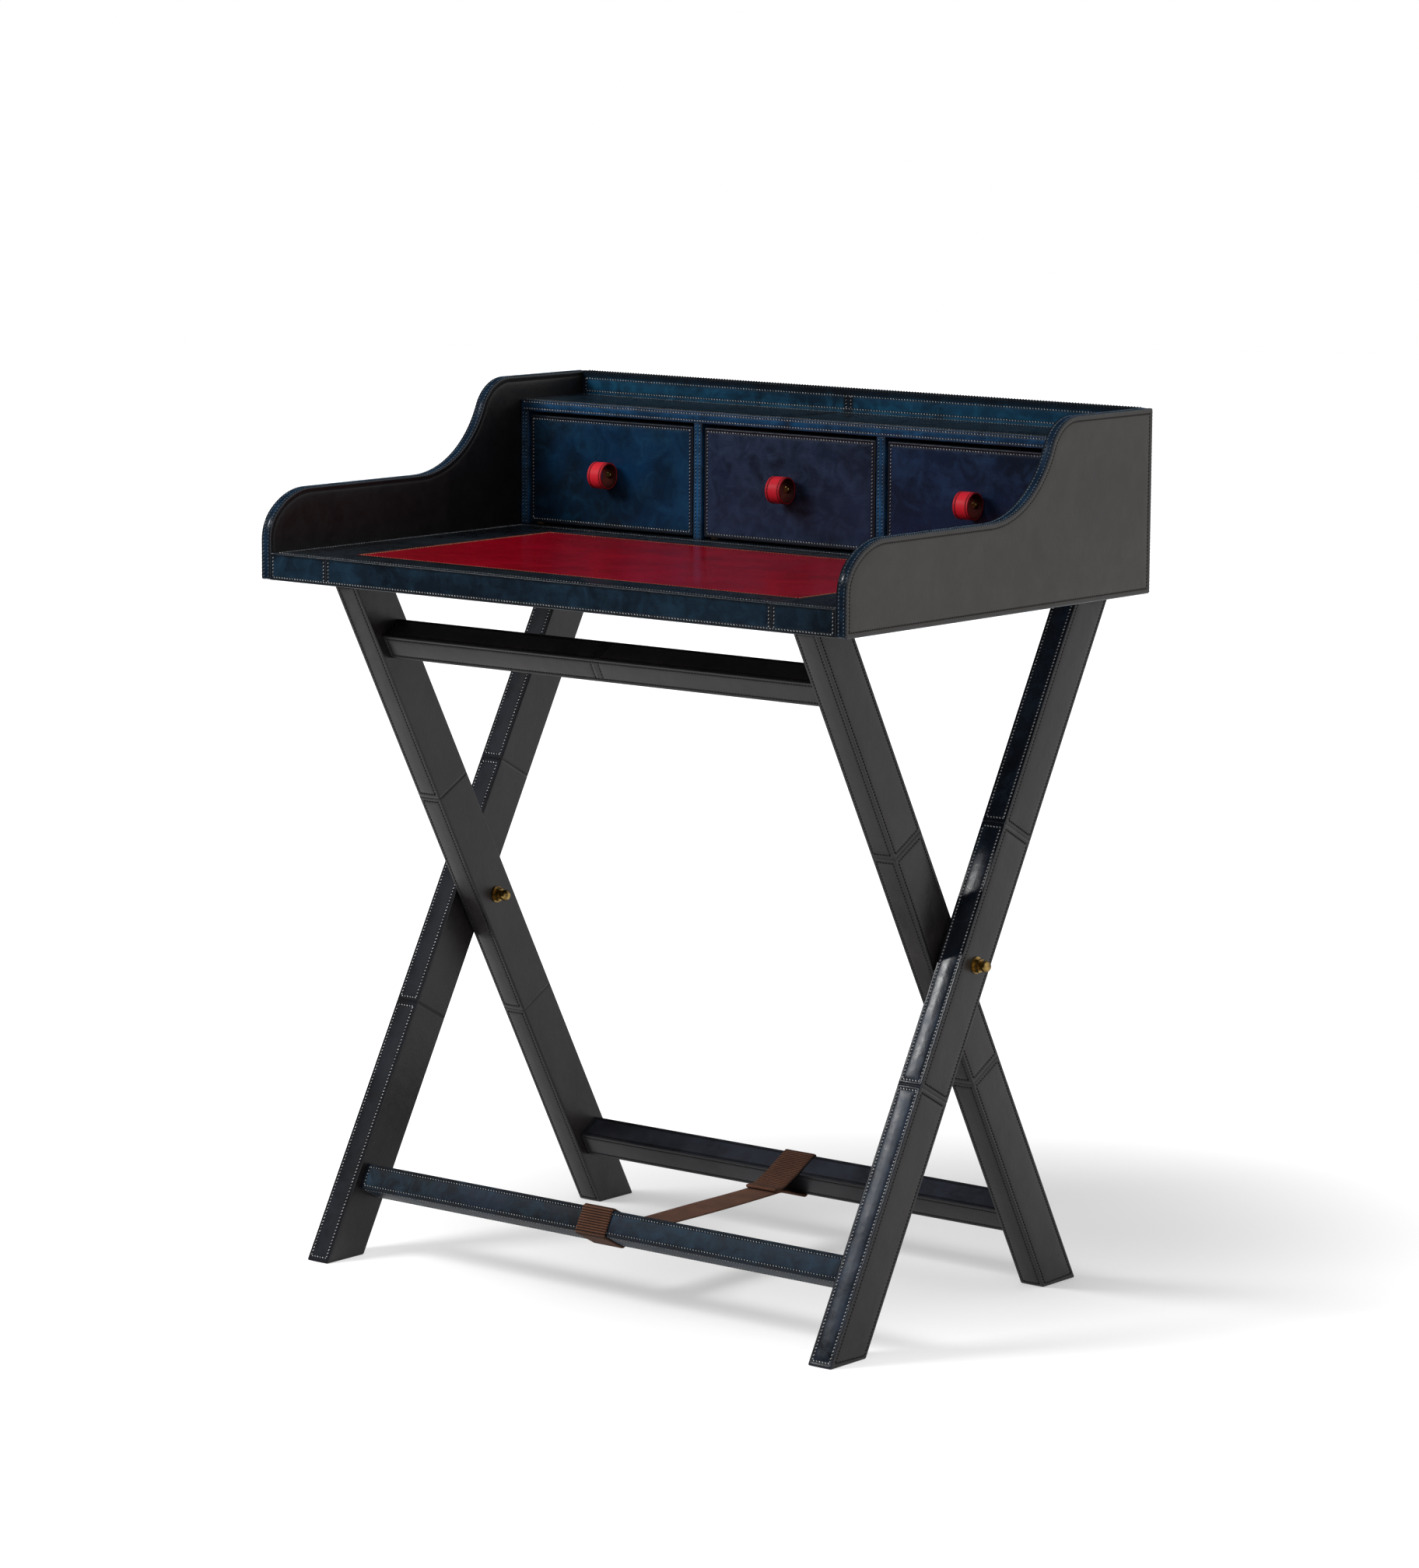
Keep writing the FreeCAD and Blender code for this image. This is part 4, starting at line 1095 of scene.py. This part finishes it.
# Drawers: each front is a board in a single hide, sewn all round near its edge, with a loop of red
# leather strip as its pull. The loop's ends meet behind a brass screw.
drawer_row_margin = 4.0 * MM
pull_diameter = 29 * MM
pull_strip = 2.0 * MM
pull_width = 19.5 * MM
pull_flattening = 0.8 * MM
pull_row_margin = 3.0 * MM
pull_groove = 0.25 * MM
pull_corner = 0.7 * MM

# The three fronts took the dye differently: deep blue, grey navy and dark navy, all with black margins
drawer_hides = {
    "left": waxed_leather(
        "deep_blue_drawer_leather", dye="#082743", deep="#091623", worn="#144360", rim="#121419",
        roughness=0.32, streak=(0.3, 1, 1), wear=0.42, rim_share=0.9, rim_width=3.2 * MM, specular=0.22),
    "middle": waxed_leather(
        "grey_navy_drawer_leather", dye="#172238", deep="#101726", worn="#2d3c58", rim="#13141a",
        roughness=0.34, streak=(0.3, 1, 1), wear=0.55, rim_share=0.9, rim_width=3.2 * MM, specular=0.35),
    "right": waxed_leather(
        "dark_navy_drawer_leather", dye="#12203a", deep="#0d1626", worn="#1e3e66", rim="#111318",
        roughness=0.32, streak=(0.3, 1, 1), wear=0.5, rim_share=0.9, rim_width=3.2 * MM, specular=0.35),
}
# The pull's outside: clear red, half matt, nearly black along its cut edges
red_strip = waxed_leather(
    "red_strip_leather", dye="#bb1c2a", deep="#a01424", worn="#c82c34", rim="#4a0810",
    roughness=0.42, wear=0.3, rim_share=0.8, rim_width=0.6 * MM, edge="#3a040a", speck_share=0,
    specular=0.25)
# Its flesh side, inside the loop: rough brown-red without a shine, dyed darker as painted shade for the
# inside of the loop
flesh_side_painted_shade = waxed_leather(
    "flesh_side_painted_shade", dye="#33100c", deep="#200a08", worn="#54261a", rim="#200806",
    roughness=0.7, wear=0.5, rim_share=0.5, rim_width=0.6 * MM, edge="#3a040a", specular=0.1)
# Dark red thread that looks like a fine line round the loop
red_thread = linen_thread("dark_red_thread", pale="#5a0812", dark="#240204")


def pull_outline(inset):
    """The loop's outside in Y and Z about its own middle, with a flat towards the drawer."""
    radius = pull_diameter / 2 - inset
    flat = pull_diameter / 2 - pull_flattening - inset
    half = math.acos(min(1.0, flat / radius))
    steps = 48
    made = []
    for k in range(steps + 1):
        turn = half + (2 * math.pi - 2 * half) * k / steps
        made.append((radius * math.cos(turn), radius * math.sin(turn)))
    return made[::-1]


for word in ("left", "middle", "right"):
    body = "drawer_" + word
    rows = panel(front, *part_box("drawer_front_" + word), drawer_row_margin)
    cover("drawer_front_" + word, "drawer_front_cover_" + word, [drawer_hides[word]], rows, body,
          "leather_drawer", "drawer_front_stitches_" + word, linen_pale)

    loop_low, loop_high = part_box("pull_loop_" + word)
    middle_x = (loop_low.x + loop_high.x) / 2
    middle_z = (loop_low.z + loop_high.z) / 2
    ring_y = loop_low.y + pull_diameter / 2
    half_width = pull_width / 2
    section, rim, seam, picked = [], [], [], []
    outer = [step for step in groove_steps(pull_row_margin, pull_groove, pull_corner) if step[0] < half_width]
    for distance, depth, share in outer + [(pull_width - d, depth, share) for d, depth, share in outer[::-1]]:
        section.append((depth, distance - half_width))
        rim.append(min(distance, pull_width - distance))
        seam.append(share)
        picked.append(0)
    # The strip's four cut corners, from the outer face over one side to the inner face, and back
    for base, inward, end, sign, turns in (
            (0, 1, half_width, -1, (0, 30, 60, 90)), (pull_strip, -1, half_width, -1, (90, 60, 30, 0)),
            (pull_strip, -1, -half_width, 1, (0, 30, 60, 90)), (0, 1, -half_width, 1, (90, 60, 30, 0))):
        for turn in map(math.radians, turns):
            section.append((base + inward * pull_corner * (1 - math.cos(turn)),
                            end + sign * pull_corner * (1 - math.sin(turn))))
            rim.append(0.5 * MM)
            seam.append(0)
    picked += [1, 0, 0, 0, 0, 1, 1, 1, 1, 1, 1, 1, 0, 0, 0, 0]

    def in_loop(spot, middle_x=middle_x, ring_y=ring_y, middle_z=middle_z):
        return Vector((middle_x + spot[0], ring_y + spot[1], middle_z + spot[2]))

    loop = ring_piece("pull_strip_" + word, pull_outline, section, in_loop, [red_strip, flesh_side_painted_shade],
                      {"rim": rim, "seam": seam}, picked)
    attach(loop, body)
    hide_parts("pull_loop_" + word)
    lines = []
    for side in (-1, 1):
        line = []
        for y, z in pull_outline(0):
            outward = Vector((0, y, z)).normalized()
            line.append((in_loop((side * (half_width - pull_row_margin), y, z)), outward))
        lines.append(line)
    sew_on("pull_stitches_" + word, lines, red_thread, body, "leather_pull", slant=0.2, sunk=0.1 * MM)

# Studio: a wide pale floor that runs out into white, one soft lamp high on the left in front, and a tent of
# black cloth behind it, so that the dark leather reflects black and not white on that side.
floor_radius = 14.0
floor_steps = 64
oval_middle = (-0.18, -0.2, 0)
oval_half = (0.6, 0.6, 1)
lamp_aim = Vector((0.1, 0, 0.55))
tent_reach = (1.3, 4.5)
tent_radius = 4.6
tent_gap = 0.004
pale_floor, tree, shader = new_material("pale_studio_floor")
# Beyond an oval round the desk the floor is whitened, and inside it keeps the shadows
place = node(tree, "TexCoord").outputs["Object"]
turned = node(tree, "Mapping", {
    "Vector": place, "Rotation": (0, 0, -camera_yaw), "Location": oval_middle})
in_oval = node(tree, "VectorMath", (turned, oval_half), operation="DIVIDE")
reach = node(tree, "VectorMath", (in_oval,), operation="LENGTH").outputs["Value"]
whitening = node(tree, "MapRange", (reach, 0.35, 1.6, 0.32, 0.95), interpolation_type="SMOOTHSTEP")
rays = node(tree, "LightPath").outputs
seen = node(tree, "Math", (rays["Is Glossy Ray"], 0.65, rays["Is Camera Ray"]), operation="MULTIPLY_ADD")
glow = node(tree, "Math", (seen, whitening), operation="MULTIPLY")
node(tree, shader, {
    "Base Color": linear("#c8c8c8"), "Roughness": 0.7, "Specular IOR Level": 0.2,
    "Emission Color": (1, 1, 1, 1), "Emission Strength": glow})
turns = [2 * math.pi * k / floor_steps for k in range(floor_steps)]
rim = [Vector((floor_radius * math.cos(turn), floor_radius * math.sin(turn), 0)) for turn in turns]
floor = mesh_piece("studio_floor", rim, [tuple(range(floor_steps))], [pale_floor])
floor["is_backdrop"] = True

world = bpy.data.worlds.new("studio")
bpy.context.scene.world = world
world.use_nodes = True
tree = world.node_tree
rays = node(tree, "LightPath").outputs
seen = rays["Is Camera Ray"]
for other in ("Is Glossy Ray", "Is Transmission Ray"):
    seen = node(tree, "Math", (seen, rays[other]), operation="MAXIMUM")
strength = node(tree, "MapRange", (seen, 0, 1, 0.55, 1.0))
node(tree, tree.nodes["Background"], {"Color": (1, 1, 1, 1), "Strength": strength})

# The wide lamp lights the desk and shapes its shadows, and the small one beside it gives the gloss
for name, size, energy, mirrored, lamp_place in (
        ("soft_lamp", 1.0, 68, False, Vector((-1.5, -1.69, 2.28))),
        ("gloss_lamp", 0.2, 14, True, Vector((-1.71, -1.8, 2.06)))):
    lamp = bpy.data.objects.new(name, bpy.data.lights.new(name, "AREA"))
    lamp.data.size = size
    lamp.data.energy = energy
    lamp.visible_glossy = mirrored
    lamp.visible_diffuse = not mirrored
    lamp.visible_camera = False
    lamp.location = lamp_place
    lamp.rotation_euler = (lamp_aim - lamp_place).to_track_quat("-Z", "Y").to_euler()
    bpy.context.scene.collection.objects.link(lamp)

black_cloth, tree, shader = new_material("black_cloth")
node(tree, shader, {"Base Color": linear("#0a0a0a"), "Roughness": 1.0, "Specular IOR Level": 0.0})
tent_profile = [(reach, tent_gap) for reach in tent_reach]
for k in range(1, 17):
    rise = math.radians(5 * k)
    tent_profile.append((tent_radius * math.cos(rise), tent_radius * math.sin(rise)))
tent_turns = [math.radians(95 + 5 * k) for k in range(40)]
points = [Vector((r * math.cos(turn), r * math.sin(turn), z)) for turn in tent_turns for r, z in tent_profile]
count = len(tent_profile)
faces = []
for i in range(len(tent_turns) - 1):
    for k in range(count - 1):
        faces.append((i * count + k, (i + 1) * count + k, (i + 1) * count + k + 1, i * count + k + 1))
tent = mesh_piece("black_tent", points, faces, [black_cloth])
tent.visible_camera = False
tent.visible_diffuse = False
tent.visible_transmission = False
tent.visible_shadow = False
tent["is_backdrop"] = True

bpy.context.scene.view_settings.view_transform = "Standard"

low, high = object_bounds()
